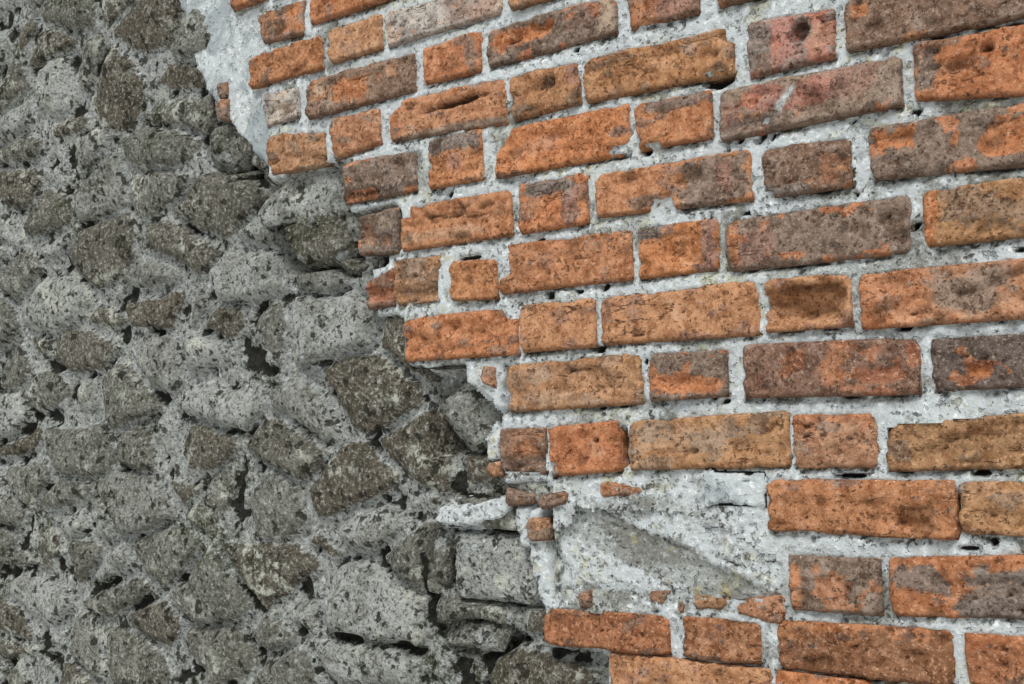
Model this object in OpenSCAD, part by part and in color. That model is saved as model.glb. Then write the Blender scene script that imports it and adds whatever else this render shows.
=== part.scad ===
/* [Wall] */
// Length of the wall
wall_l = 3400; // [2600:10:4400]
// Number of brick courses under the coping
course_n = 25; // [20:5:30]
// Courses in one lift of the backing
lift_n = 5; // [5:5:10]

/* [Brick] */
// Length of a brick
brick_l = 250; // [220:1:280]
// Width of a brick
brick_w = 125; // [105:1:140]
// Height of a brick
brick_h = 76; // [60:1:85]
// Thickness of a lime mortar joint
joint = 12; // [8:1:18]
// Joint between the two headers that meet across the wall
collar = 20; // [12:1:40]

/* [Rubble] */
// How far the rubble lies behind the brick face
rubble_set = 40; // [25:1:60]
// How far a boulder stands out of the rubble
boulder_out = 30; // [8:1:38]
// How deep a boulder is bedded in the rubble
boulder_bed = 110; // [60:1:160]

/* [Coping] */
// Fall of the coping from the middle of the wall to its face
coping_fall = 14; // [0:1:25]
// Radius of the worn outer arris of the coping
coping_wear = 12; // [4:1:20]

/* [Patches] */
// Thickness of the lime render beside the top courses
smear_t = 32; // [15:1:50]
// Width of the lime render beside the top courses
smear_w = 150; // [100:5:220]
// Left end of the repair where bricks are missing
repair_x = 60; // [0:5:150]
// How deep the repair reaches into the wall
repair_d = 90; // [60:1:110]
// How far the repair stays behind the brick face
repair_set = 8; // [2:1:14]

/* [Hidden] */
$fn = 48;

// Sizes that follow from the brick
pitch = brick_h + joint;
bond = brick_l + brick_w + 2 * joint;
leaf = brick_w + joint / 2;
wall_t = 2 * brick_l + collar;
face_y = -wall_t / 2;
end_x = wall_l / 2;

// Where the brick face breaks off to the left, in brick lengths from the middle of
// the wall, one number a course from the ground up
broken_ends = [
    1.32, 0.72, 1.20, 0.52, 1.04,
    0.40, 0.80, 0.24, 0.60, 0.16,
    1.76, 1.66, -0.12, -0.06, -0.92,
    -1.20, -0.90, -1.40, -2.22, -2.20,
    -2.38, -2.24, -2.54, -2.80, -2.92
];
// How far the break moves on with each course above the list, in brick lengths
break_step = 0.1;
// Middle of one header in the odd courses, in brick lengths from the middle
first_header = 0.34;
// Courses that the repair takes the place of
repair_courses = [11, 12];
// Courses that the lime render runs beside
smear_courses = [21:course_n];
// Each boulder: the course it is level with, its width and height in brick lengths,
// and the share of its side that its corners are cut by
top = [20, 0.60, 0.50, 0.26];
upper = [18, 0.86, 0.66, 0.24];
middle = [14, 0.60, 0.60, 0.30];
lower = [11, 0.76, 0.50, 0.18];
foot = [6, 1.10, 0.80, 0.22];
boulders = [top, upper, middle, lower, foot];
// What the nose of a boulder keeps of its outline
boulder_nose = 0.78;

brick_red = "#b9683f";
rubble_grey = "#8f918a";
lime_white = "#c8cccb";

function listed(i) = i <= len(broken_ends)
    ? broken_ends[i - 1]
    : broken_ends[len(broken_ends) - 1] - break_step * (i - len(broken_ends));
function front_end(i) = listed(i) * brick_l;
function is_repaired(i) = len(search(i, repair_courses)) > 0;
// The back breaks off one header further on, and has lost no bricks to the repair
function back_end(i) = (is_repaired(i) ? repair_x : front_end(i)) - brick_w;
function is_even(i) = i % 2 == 0;
function bed_z(i) = (i - 1) * pitch;
// Middle of header n, half a bond apart from course to course
function header_x(i, n) = first_header * brick_l + (is_even(i) ? bond / 2 : 0) + n * bond;
function lift_courses(j) = [(j - 1) * lift_n + 1:j * lift_n];

// One course or a stack of them as seen from the front, from one height to the next
module course_view(i, left, right) {
    polygon([[left, bed_z(i)], [right, bed_z(i)], [right, bed_z(i + 1)], [left, bed_z(i + 1)]]);
}

// Gives what is drawn from the front a depth, from set behind the brick face on
module into_wall(set, depth) {
    translate([0, face_y + set + depth, 0])
        rotate([90, 0, 0]) linear_extrude(depth) children();
}

module header_views(i, left, tie) {
    half = (brick_w + joint) / 2;
    first = ceil((left + half - header_x(tie, 0)) / bond);
    last = floor((end_x - leaf - half - header_x(tie, 0)) / bond);
    for (n = [first:last])
        course_view(i, header_x(tie, n) - half, header_x(tie, n) + half);
}

// Brickwork one stretcher deep, with headers that tie it to the rubble
module front_shape(courses) {
    into_wall(0, leaf)
        for (i = courses) course_view(i, front_end(i), end_x - (is_even(i) ? leaf : 0));
    into_wall(0, brick_l)
        for (i = courses) header_views(i, front_end(i), i);
}

module back_shape(courses) {
    mirror([0, 1, 0]) {
        into_wall(0, leaf)
            for (i = courses) course_view(i, back_end(i), end_x - (is_even(i) ? leaf : 0));
        into_wall(0, brick_l)
            for (i = courses) header_views(i, back_end(i), i + 1);
    }
}

module front_course(i) {
    color(brick_red) front_shape([i]);
}

module back_lift(j) {
    color(brick_red) back_shape(lift_courses(j));
}

// One lift of the stub and core of stone in lime, fitted round the bricks
module rubble_lift(j) {
    color(rubble_grey)
        difference() {
            into_wall(rubble_set, wall_t - 2 * rubble_set)
                for (i = lift_courses(j)) course_view(i, -end_x, end_x - leaf);
            front_shape(lift_courses(j));
            back_shape(lift_courses(j));
            repair_shape();
            for (b = boulders) boulder_pocket(b);
        }
}

// The end of the wall: a core of bricks with ears toothed into both faces
module end_return() {
    color(brick_red) {
        into_wall(leaf, wall_t - 2 * leaf)
            for (i = [1:course_n]) course_view(i, end_x - leaf, end_x);
        into_wall(0, wall_t)
            for (i = [2:2:course_n]) course_view(i, end_x - leaf, end_x);
    }
}

// Section of one side of the brick-on-edge coping, from the face to the middle
module coping_section() {
    ridge = joint + brick_w;
    low = ridge - coping_fall;
    polygon([
        [0, 0], [wall_t / 2, 0], [wall_t / 2, ridge],
        [coping_wear, low], [0, low - coping_wear]
    ]);
    translate([coping_wear, low - coping_wear]) circle(coping_wear);
}

module coping_half() {
    translate([-end_x, face_y, bed_z(course_n + 1)])
        rotate([90, 0, 90]) linear_extrude(wall_l) coping_section();
}

module coping_front() {
    color(brick_red) coping_half();
}

module coping_back() {
    color(brick_red) mirror([0, 1, 0]) coping_half();
}

// A coat of lime over the rubble, up against the ends of the top courses
module lime_smear() {
    color(lime_white)
        into_wall(rubble_set - smear_t, smear_t)
            for (i = smear_courses) course_view(i, front_end(i) - smear_w, front_end(i));
}

// Mortar and flat stone where bricks are missing
module repair_shape() {
    into_wall(repair_set, repair_d - repair_set)
        for (i = repair_courses) course_view(i, repair_x, front_end(i));
}

module repair_patch() {
    color(lime_white) repair_shape();
}

// Outline of a boulder of one size, its top right corner at the origin
module boulder_outline(w, h, cut) {
    polygon([
        [-w * cut, 0], [0, -h * cut], [0, -h * (1 - cut)], [-w * cut, -h],
        [-w * (1 - cut), -h], [-w, -h * (1 - cut)], [-w, -h * cut], [-w * (1 - cut), 0]
    ]);
}

// Room for a boulder to the left of every course that it stands beside
function boulder_x(b) =
    min([for (i = [b[0] - floor(b[2] * brick_l / pitch):b[0]]) front_end(i)]) - joint;

module boulder_view(b, scale) {
    w = b[1] * brick_l;
    h = b[2] * brick_l;
    inset = (1 - scale) / 2;
    translate([boulder_x(b) - w * inset, bed_z(b[0] + 1) - joint - h * inset])
        boulder_outline(w * scale, h * scale, b[3]);
}

module boulder_pocket(b) {
    into_wall(rubble_set, boulder_bed) boulder_view(b, 1);
}

// A field stone, bedded in the rubble, with a rounded nose
module boulder(b) {
    color(rubble_grey)
        hull() {
            boulder_pocket(b);
            into_wall(rubble_set - boulder_out, boulder_out) boulder_view(b, boulder_nose);
        }
}

for (i = [1:course_n])
    front_course(i);
for (j = [1:course_n / lift_n])
    rubble_lift(j);
for (j = [1:course_n / lift_n])
    back_lift(j);
end_return();
coping_front();
coping_back();
lime_smear();
repair_patch();
boulder(top);  // boulder_top
boulder(upper);  // boulder_upper
boulder(middle);  // boulder_middle
boulder(lower);  // boulder_lower
boulder(foot);  // boulder_foot
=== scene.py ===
import math
from random import Random

import bmesh
import bpy
from mathutils import Matrix, Vector, noise


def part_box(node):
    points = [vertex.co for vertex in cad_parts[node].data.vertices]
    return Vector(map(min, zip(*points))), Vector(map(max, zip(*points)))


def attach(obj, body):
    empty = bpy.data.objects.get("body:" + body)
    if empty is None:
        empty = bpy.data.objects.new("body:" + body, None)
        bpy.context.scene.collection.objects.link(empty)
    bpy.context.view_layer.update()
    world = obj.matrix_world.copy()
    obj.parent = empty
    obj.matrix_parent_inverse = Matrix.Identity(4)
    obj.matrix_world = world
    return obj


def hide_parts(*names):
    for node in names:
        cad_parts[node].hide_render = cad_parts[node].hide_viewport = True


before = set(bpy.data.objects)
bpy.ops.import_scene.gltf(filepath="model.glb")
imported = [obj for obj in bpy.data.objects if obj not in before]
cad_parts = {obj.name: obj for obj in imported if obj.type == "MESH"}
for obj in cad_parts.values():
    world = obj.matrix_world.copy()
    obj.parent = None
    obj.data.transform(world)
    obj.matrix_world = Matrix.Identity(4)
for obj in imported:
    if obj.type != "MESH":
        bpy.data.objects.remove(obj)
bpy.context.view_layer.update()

MM = 0.001

# What the frame gives: the courses, the brick face, the height of a course, the ends of the wall
COURSES = [i for i in range(1, 100) if f"front_course_{i}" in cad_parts]
FACE_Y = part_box("front_course_1")[0][1]
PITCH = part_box("front_course_1")[1][2]
WALL_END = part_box("end_return")[1][0]
WALL_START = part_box("rubble_lift_1")[0][0]
WALL_TOP = len(COURSES) * PITCH
RUBBLE_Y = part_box("rubble_lift_1")[0][1]
LIFTS = 5
LIFT = len(COURSES) // LIFTS
REPAIRED = (11, 12)

# The brick, its joint, its rounded arris at the wall's end, and how far it stands out of the face
BRICK_L = 250 * MM
BRICK_W = 125 * MM
JOINT = 12 * MM
ARRIS = 6 * MM
PROUD = 4 * MM

# Colours of the clay, of its fired crust, of lime and of stone, as red, green and blue
CLAY = {
    "dark": (0.52, 0.42, 0.35), "light": (0.68, 0.43, 0.29), "pale": (0.62, 0.375, 0.235),
    "pore": (0.28, 0.18, 0.12), "speck": (0.080, 0.034, 0.014), "sand": (0.62, 0.42, 0.28),
    # The pit, crack and last colours are painted shade: near black where holes, cracks and recesses lie.
    "pit": (0.072, 0.031, 0.013), "crack": (0.060, 0.028, 0.012), "painted_shade": (0.052, 0.024, 0.010),
    "lime": (0.66, 0.67, 0.65),
}
CRUST = {
    "dark": (0.40, 0.37, 0.36), "light": (0.46, 0.40, 0.35), "pale": (0.40, 0.325, 0.265),
    "pore": (0.046, 0.030, 0.020), "speck": (0.03, 0.022, 0.018), "sand": (0.48, 0.40, 0.33),
}
MORTAR = {
    "grey": (0.50, 0.545, 0.555), "white": (0.76, 0.80, 0.805), "pore": (0.155, 0.165, 0.16),
    "old_low": (0.165, 0.165, 0.140), "old_low_pale": (0.33, 0.35, 0.335),
    "old_high": (0.34, 0.345, 0.315), "old_high_pale": (0.60, 0.64, 0.645),
    "old_pore": (0.075, 0.08, 0.07), "speck": (0.10, 0.10, 0.10), "sand": (0.80, 0.81, 0.79),
    # The pit colour and the last colour below are painted shade: black in the holes, pits and recesses
    # of the mortar.
    "pit": (0.05, 0.05, 0.045), "lichen": (0.46, 0.44, 0.24), "stain": (0.29, 0.33, 0.345),
    "yellow": (0.42, 0.36, 0.16), "painted_shade": (0.020, 0.018, 0.015),
}
STONE = {
    "brown": (0.135, 0.116, 0.086), "grey": (0.195, 0.198, 0.170), "light": (0.42, 0.44, 0.42),
    "blotch": (0.42, 0.42, 0.36), "pale": (0.46, 0.48, 0.43), "pore": (0.035, 0.035, 0.026),
    "lime": (0.33, 0.35, 0.335), "lime_pale": (0.62, 0.66, 0.66), "lime_pore": (0.055, 0.055, 0.045),
    "speck": (0.04, 0.04, 0.032), "sand": (0.60, 0.62, 0.58), "lichen": (0.56, 0.58, 0.50),
    "moss": (0.045, 0.052, 0.022), "crumb": (0.045, 0.043, 0.032), "crumb_pale": (0.55, 0.56, 0.52),
    # The last two colours are painted shade: black in the clefts and holes of the rubble.
    "cleft_shade": (0.014, 0.014, 0.010), "pit": (0.022, 0.022, 0.016),
}


# Shading in node groups and materials

class Tree:
    """Small helper that adds nodes to a tree and links them."""

    def __init__(self, owner):
        self.nodes = owner.nodes
        self.links = owner.links

    def set(self, socket, value):
        if isinstance(value, bpy.types.NodeSocket):
            self.links.new(value, socket)
        elif value is not None:
            socket.default_value = value

    def add(self, kind, sockets=None, **settings):
        node = self.nodes.new(f"ShaderNode{kind}")
        for key, value in settings.items():
            setattr(node, key, value)
        for key, value in (sockets or {}).items():
            self.set(node.inputs[key], value)
        return node

    def noise(self, vector, scale, detail=4.0, rough=0.55, distortion=0.0):
        node = self.add("TexNoise", {"Vector": vector, "Scale": scale, "Detail": detail,
                                     "Roughness": rough, "Distortion": distortion})
        return node.outputs["Fac"]

    def math(self, operation, a, b=None):
        node = self.add("Math", operation=operation)
        self.set(node.inputs[0], a)
        if b is not None:
            self.set(node.inputs[1], b)
        return node.outputs[0]

    def times(self, a, b):
        return self.math("MULTIPLY", a, b)

    def plus(self, a, b, share):
        """The sum of a and of b times share."""
        return self.math("ADD", a, self.times(b, share))

    def band(self, value, low, high, out_low=0.0, out_high=1.0, smooth=True):
        """Maps value from low..high to out_low..out_high and holds it there."""
        node = self.add("MapRange", {
            "Value": value, "From Min": low, "From Max": high, "To Min": out_low, "To Max": out_high},
            interpolation_type="SMOOTHSTEP" if smooth else "LINEAR", clamp=True)
        return node.outputs["Result"]

    def mix(self, share, a, b, blend="MIX"):
        """Colour b over colour a; each is a socket or red, green and blue."""
        node = self.add("Mix", data_type="RGBA", blend_type=blend, clamp_factor=True)
        self.set(node.inputs["Factor"], share)
        for socket, colour in ((node.inputs[6], a), (node.inputs[7], b)):
            self.set(socket, (*colour, 1.0) if isinstance(colour, tuple) else colour)
        return node.outputs[2]

    def tint(self, colour, tints):
        """Lays tints over a colour in turn, each a mask, how much of it counts, and a colour."""
        for mask, share, tint in tints:
            colour = self.mix(self.times(mask, share), colour, tint)
        return colour

    def attribute(self, name, output="Color"):
        return self.add("Attribute", attribute_name=name).outputs[output]

    def masks(self):
        """The three shares that a piece carries in its attribute of this name."""
        return self.add("SeparateColor", {0: self.attribute("masks")}).outputs[:3]

    def effect(self, name, **sockets):
        """The outputs of a shared effect at the piece's own coordinates."""
        node = self.nodes.new("ShaderNodeGroup")
        node.node_tree = bpy.data.node_groups[name]
        for key, value in {"Vector": self.place, **sockets}.items():
            self.set(node.inputs[key], value)
        return node.outputs


def new_group(name, inputs, outputs):
    """A shader node group with a vector and named values going in, and masks coming out."""
    group = bpy.data.node_groups.new(name, "ShaderNodeTree")
    group.interface.new_socket("Vector", in_out="INPUT", socket_type="NodeSocketVector")
    for label, default in inputs.items():
        socket = group.interface.new_socket(label, in_out="INPUT", socket_type="NodeSocketFloat")
        socket.default_value = default
    for label in outputs:
        group.interface.new_socket(label, in_out="OUTPUT", socket_type="NodeSocketFloat")
    tree = Tree(group)
    start = group.nodes.new("NodeGroupInput").outputs
    end = group.nodes.new("NodeGroupOutput").inputs
    return tree, start["Vector"], start, end


def grain_group():
    """Grains, lumps and blotches of fired clay, lime or stone, and the relief that they make."""
    tree, place, start, end = new_group(
        "grain", {"Grain": 400.0, "Lump": 150.0, "Blotch": 45.0},
        ("Specks", "Sand", "Pores", "Pale", "Blotches", "Relief"))
    fine = tree.noise(place, start["Grain"], 2.0, 0.6)
    lump = tree.noise(place, start["Lump"], 5.0, 0.68)
    blotch = tree.noise(place, start["Blotch"], 6.0, 0.68, 0.5)
    tree.set(end["Specks"], tree.band(fine, 0.58, 0.72))
    tree.set(end["Sand"], tree.band(fine, 0.42, 0.28))
    tree.set(end["Pores"], tree.band(lump, 0.455, 0.34))
    tree.set(end["Pale"], tree.band(lump, 0.53, 0.68))
    tree.set(end["Blotches"], tree.band(blotch, 0.42, 0.62))
    relief = tree.plus(tree.times(fine, 0.25), blotch, 0.8)
    tree.set(end["Relief"], tree.math("ADD", relief, lump))


def pits_group():
    """Small ragged holes in clusters: a mask of the holes, which the materials paint dark as shade, and
    a relief that falls into them.
    """
    tree, place, start, end = new_group("pits", {"Size": 120.0, "Share": 0.5}, ("Mask", "Relief"))
    hole = tree.noise(place, start["Size"], 2.5, 0.55)
    where = tree.noise(place, 24.0, 3.0, 0.6)
    reach = tree.times(tree.band(where, 0.35, 0.70), start["Share"])
    mask = tree.band(tree.plus(hole, reach, 0.14), 0.66, 0.74)
    tree.set(end["Mask"], mask)
    tree.set(end["Relief"], tree.math("SUBTRACT", 1.0, mask))


def lichen_group():
    """Round ragged spots of lichen, in a few clumps."""
    tree, place, start, end = new_group(
        "lichen", {"Spots": 60.0, "Clumps": 4.0, "Amount": 0.5}, ("Mask",))
    fine = tree.noise(place, start["Spots"], 5.0, 0.7)
    clump = tree.noise(place, start["Clumps"], 2.0, 0.5)
    both = tree.times(tree.band(fine, 0.5, 0.62), tree.band(clump, 0.5, 0.62))
    tree.set(end["Mask"], tree.times(both, start["Amount"]))


def cracks_group():
    """Thin wandering cracks, in some places only: a mask of the cracks, which the brick paints dark as
    shade.
    """
    tree, place, start, end = new_group("cracks", {"Size": 16.0, "Share": 0.8}, ("Mask",))
    flat = tree.add("Mapping", {"Vector": place, "Scale": (1.0, 1.0, 4.0)}).outputs[0]
    way = tree.noise(flat, start["Size"], 5.0, 0.55)
    off = tree.math("ABSOLUTE", tree.math("SUBTRACT", way, 0.5))
    where = tree.noise(place, 13.0, 3.0, 0.6)
    share = tree.times(tree.band(where, 0.56, 0.64), start["Share"])
    tree.set(end["Mask"], tree.times(tree.band(off, 0.010, 0.002), share))


def new_material(name):
    material = bpy.data.materials.new(name)
    material.use_nodes = True
    tree = Tree(material.node_tree)
    tree.shader = material.node_tree.nodes["Principled BSDF"]
    tree.shader.inputs["Specular IOR Level"].default_value = 0.12
    tree.place = tree.add("TexCoord").outputs["Object"]
    return material, tree


def finish_material(tree, colour, rough, relief, depth):
    """Links colour, roughness and a bump of the given depth in metres."""
    bump = tree.add("Bump", {"Height": relief, "Distance": depth, "Strength": 1.0})
    tree.set(tree.shader.inputs["Base Color"], colour)
    tree.set(tree.shader.inputs["Roughness"], rough)
    tree.set(tree.shader.inputs["Normal"], bump.outputs["Normal"])


def brick_material():
    """Old brick: the body's and the skin's colour come with each brick, and a mask says which; another
    mask paints shade into its recesses.
    """
    material, tree = new_material("weathered_brick")
    has_skin, painted_shade, lime = tree.masks()
    grain = tree.effect("grain", Grain=430.0, Lump=165.0, Blotch=46.0)
    pits = tree.effect("pits", Size=150.0, Share=0.8)
    cracks = tree.effect("cracks", Size=6.0, Share=0.8)["Mask"]
    fray = tree.noise(tree.place, 130.0, 5.0, 0.7)
    ragged = tree.math("SUBTRACT", fray, 0.5)
    body = brick_body(tree, tree.attribute("body"), grain)
    skin = brick_skin(tree, tree.attribute("skin"), grain)
    colour = tree.mix(tree.band(tree.plus(has_skin, ragged, 1.4), 0.42, 0.58), body, skin)
    # Painted shade: pits and cracks are painted near black.
    colour = tree.tint(colour, [(pits["Mask"], 0.62, CLAY["pit"])])
    colour = tree.mix(cracks, colour, CLAY["crack"])
    smeared = tree.band(tree.plus(lime, ragged, 1.6), 0.44, 0.62, 0.0, 0.75)
    colour = tree.mix(smeared, colour, CLAY["lime"])
    # Painted shade where the mask says: in holes, recesses, scoops, bowls and along the lower edge.
    colour = tree.mix(tree.band(painted_shade, 0.12, 1.0, 0.0, 0.88), colour, CLAY["painted_shade"])
    relief = tree.plus(grain["Relief"], pits["Relief"], 0.7)
    relief = tree.plus(relief, cracks, -0.5)
    finish_material(tree, colour, tree.band(fray, 0.3, 0.7, 0.80, 0.97), relief, 3.0 * MM)
    return material


def brick_body(tree, body, grain):
    """The clay under the skin: pores, sand and blotches of a darker firing."""
    dark = tree.mix(1.0, body, CLAY["dark"], "MULTIPLY")
    pore = tree.mix(1.0, body, CLAY["pore"], "MULTIPLY")
    wide = tree.noise(tree.place, 19.0, 3.0, 0.6, 0.6)
    colour = tree.mix(tree.band(wide, 0.44, 0.28), body, tree.mix(0.42, body, CLAY["light"]))
    colour = tree.mix(tree.band(wide, 0.50, 0.66, 0.0, 0.45), colour, dark)
    return tree.tint(colour, [
        (grain["Blotches"], 0.80, dark), (grain["Pale"], 0.70, CLAY["pale"]),
        (grain["Pores"], 0.70, pore), (grain["Specks"], 0.46, CLAY["speck"]),
        (grain["Sand"], 0.36, CLAY["sand"])])


def brick_skin(tree, skin, grain):
    """The fired and weathered skin: duller, with grey growth and soot in its pores."""
    dark = tree.mix(1.0, skin, CRUST["dark"], "MULTIPLY")
    wide = tree.noise(tree.place, 19.0, 3.0, 0.6, 0.6)
    colour = tree.mix(tree.band(wide, 0.46, 0.28), skin, tree.mix(0.40, skin, CRUST["light"]))
    return tree.tint(colour, [
        (grain["Blotches"], 0.8, dark), (grain["Pale"], 0.75, CRUST["pale"]),
        (grain["Pores"], 0.85, CRUST["pore"]), (grain["Specks"], 0.5, CRUST["speck"]),
        (grain["Sand"], 0.42, CRUST["sand"])])


def mortar_material():
    """Lime mortar: whitish lumps, dark grit between them, grey weathering, and painted shade, black, in
    the holes.

    The first mask is grime, with painted shade under the bricks and past the broken ends; under 0 it
    takes the grit away and leaves grey stains on sound lime. The second mask is painted shade.
    """
    material, tree = new_material("lime_mortar")
    grime_and_shade, painted_shade, lichen = tree.masks()
    grain = tree.effect("grain", Grain=340.0, Lump=110.0, Blotch=30.0)
    pits = tree.effect("pits", Size=105.0, Share=1.0)
    spots = tree.effect("lichen", Spots=48.0, Clumps=5.0, Amount=0.5)["Mask"]
    spread = tree.noise(tree.place, 70.0, 6.0, 0.75)
    # Grime and, under the bricks and past the broken ends, painted shade grey the lime as old mortar.
    dirt_and_shade = tree.math("ADD", spread, tree.band(grime_and_shade, 0.0, 1.4, -0.14, 0.30, smooth=False))
    sound = tree.band(grime_and_shade, -0.05, -0.45)
    gritty = tree.times(tree.band(dirt_and_shade, 0.40, 0.60, 0.34, 1.0),
                        tree.math("SUBTRACT", 1.0, tree.times(sound, 0.85)))
    colour = tree.mix(grain["Pale"], MORTAR["grey"], MORTAR["white"])
    colour = tree.tint(colour, [(grain["Pores"], gritty, MORTAR["pore"])])
    colour = tree.mix(tree.band(dirt_and_shade, 0.46, 0.66, 0.0, 0.9), colour, old_mortar(tree, grain))
    # Painted shade: the pits are painted black where the mortar is gritty.
    pit = tree.times(tree.times(pits["Mask"], gritty), tree.band(grime_and_shade, 0.75, 1.15, 1.0, 0.35))
    stain = tree.band(tree.noise(tree.place, 11.0, 6.0, 0.7, 0.4), 0.46, 0.56)
    colour = tree.tint(colour, [
        (tree.times(grain["Specks"], gritty), 0.6, MORTAR["speck"]),
        (grain["Sand"], 0.2, MORTAR["sand"]), (pit, 0.9, MORTAR["pit"])])
    colour = tree.mix(spots, colour, MORTAR["lichen"])
    colour = tree.tint(colour, [(tree.times(stain, sound), 0.9, MORTAR["stain"])])
    frills = tree.math("SUBTRACT", tree.noise(tree.place, 190.0, 5.0, 0.75), 0.54)
    yellow = tree.plus(lichen, tree.times(frills, 4.0), tree.band(lichen, 0.0, 0.2))
    colour = tree.mix(tree.band(yellow, 0.35, 0.75, 0.0, 0.60), colour, MORTAR["yellow"])
    # Painted shade where the second mask says, with a ragged rim.
    ragged = tree.plus(painted_shade, tree.math("SUBTRACT", spread, 0.5), 0.9)
    colour = tree.mix(tree.band(ragged, 0.22, 0.55, 0.0, 0.97), colour, MORTAR["painted_shade"])
    relief = tree.math("ADD", grain["Relief"], pits["Relief"])
    finish_material(tree, colour, 0.92, relief, 4.2 * MM)
    return material


def old_mortar(tree, grain):
    """Lime that has weathered grey, in wide patches of two tones."""
    wide = tree.band(tree.noise(tree.place, 12.0, 6.0, 0.66), 0.43, 0.57)
    low = tree.mix(wide, MORTAR["old_low"], MORTAR["old_low_pale"])
    high = tree.mix(wide, MORTAR["old_high"], MORTAR["old_high_pale"])
    return tree.tint(tree.mix(grain["Pale"], low, high), [(grain["Pores"], 0.9, MORTAR["old_pore"])])


def stone_material():
    """Field stone in lime: grey stones, each with its tone, pale joints, moss, and painted shade, black,
    in the clefts and holes.
    """
    material, tree = new_material("rubble_stone")
    joint, tone, moss = tree.masks()
    grain = tree.effect("grain", Grain=300.0, Lump=80.0, Blotch=22.0)
    pits = tree.effect("pits", Size=60.0, Share=1.1)
    lichen = tree.effect("lichen", Spots=34.0, Clumps=7.0, Amount=0.85)["Mask"]
    stone = tree.mix(tree.band(tone, 0.0, 0.5), STONE["brown"], STONE["grey"])
    stone = tree.mix(tree.band(tone, 0.5, 1.0), stone, STONE["light"])
    stone = tree.tint(stone, [
        (grain["Blotches"], 0.7, tree.mix(1.0, stone, STONE["blotch"], "MULTIPLY")),
        (grain["Pale"], 0.42, STONE["pale"]), (grain["Pores"], 0.6, STONE["pore"])])
    lime = tree.mix(grain["Pale"], STONE["lime"], STONE["lime_pale"])
    lime = tree.tint(lime, [(grain["Pores"], 0.9, STONE["lime_pore"])])
    fray = tree.noise(tree.place, 60.0, 6.0, 0.74)
    ragged = tree.math("SUBTRACT", fray, 0.5)
    colour = tree.mix(tree.band(tree.plus(joint, ragged, 1.7), 0.42, 0.68), stone, lime)
    colour = tree.tint(colour, [
        (grain["Specks"], 0.6, STONE["speck"]), (grain["Sand"], 0.3, STONE["sand"])])
    colour = tree.mix(lichen, colour, STONE["lichen"])
    colour = tree.tint(colour, [(moss, tree.band(fray, 0.42, 0.58), STONE["moss"])])
    crumb = tree.noise(tree.place, 140.0, 4.0, 0.66, 0.3)
    colour = tree.mix(tree.band(crumb, 0.48, 0.36, 0.0, 0.75), colour, STONE["crumb"])
    colour = tree.mix(tree.band(crumb, 0.54, 0.66, 0.0, 0.55), colour, STONE["crumb_pale"])
    # Painted shade: the clefts and the pits are painted black.
    cleft_shade = tree.plus(tree.attribute("cleft_shade", "Fac"), ragged, 1.6)
    colour = tree.mix(tree.band(cleft_shade, 0.45, 0.75, 0.0, 0.95), colour, STONE["cleft_shade"])
    colour = tree.tint(colour, [(pits["Mask"], 0.85, STONE["pit"])])
    relief = tree.plus(pits["Relief"], grain["Relief"], 1.5)
    relief = tree.plus(relief, crumb, 1.2)
    finish_material(tree, colour, 0.93, relief, 7.0 * MM)
    return material


# Where things are on the front: x along the wall, z up, out towards the viewer

FRONT = Matrix((
    (1, 0, 0, 0),
    (0, 0, -1, FACE_Y),
    (0, 1, 0, 0),
    (0, 0, 0, 1),
))
BACK = Matrix.Rotation(math.pi, 4, "Z") @ FRONT
END = Matrix.Translation((WALL_END, 0, 0)) @ Matrix.Rotation(math.pi / 2, 4, "Z") @ \
    Matrix.Translation((0, -FACE_Y, 0)) @ FRONT


def turbulence(x, z, seed, size, octaves=3):
    """Smooth noise of about -1..1 with features of the given size in metres."""
    return noise.fractal(Vector((x / size, z / size, seed * 7.31)), 0.9, 2.1, octaves)


def steps(value, count):
    """Value in whole steps with short soft risers, as where layers have split off."""
    level = math.floor(value * count)
    rest = value * count - level
    return (level + min(1.0, max(0.0, (rest - 0.35) / 0.3))) / count


def soft(value, low, high):
    """0 at low and 1 at high with a smooth rise between; low may be the larger of the two."""
    share = min(1.0, max(0.0, (value - low) / (high - low)))
    return share * share * (3 - 2 * share)


# Tones of the bricks: the body under the skin, the fired skin, how much skin is left, how pitted
TONES = {
    "orange": ((0.46, 0.203, 0.098), (0.30, 0.155, 0.096), 0.22, 0.8),
    "bright": ((0.49, 0.200, 0.088), (0.29, 0.155, 0.105), 0.18, 0.7),
    "smooth": ((0.50, 0.262, 0.138), (0.41, 0.215, 0.13), 0.30, 0.3),
    "tan": ((0.41, 0.225, 0.116), (0.30, 0.188, 0.115), 0.35, 0.9),
    "brown": ((0.34, 0.172, 0.096), (0.23, 0.142, 0.098), 0.65, 0.7),
    "red": ((0.315, 0.135, 0.080), (0.23, 0.128, 0.088), 0.70, 0.5),
    "grey": ((0.40, 0.175, 0.094), (0.215, 0.155, 0.118), 0.72, 0.7),
    "pink": ((0.46, 0.225, 0.170), (0.34, 0.235, 0.200), 0.60, 0.6),
    "pale": ((0.50, 0.400, 0.310), (0.46, 0.400, 0.340), 0.65, 0.5),
    "burnt": ((0.30, 0.125, 0.070), (0.13, 0.100, 0.085), 0.80, 0.8),
}

# What single bricks have lost or kept: (kind, x, z, half width, half height, amount, slope) in mm;
# the narrow kinds are round or long, and painted dark inside as shade
BOWL, GOUGE, CHIP, HOLE, CRACK, LEDGE = "bowl", "gouge", "chip", "hole", "crack", "ledge"
NARROW = (GOUGE, HOLE, CRACK)
SKIN, BARE, DARK_AND_SHADE, GREY, PINK, PALE, ORANGE, LIME, ROSE = (
    "skin", "bare", "dark", "grey", "pink", "pale", "orange", "lime", "rose")
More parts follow.
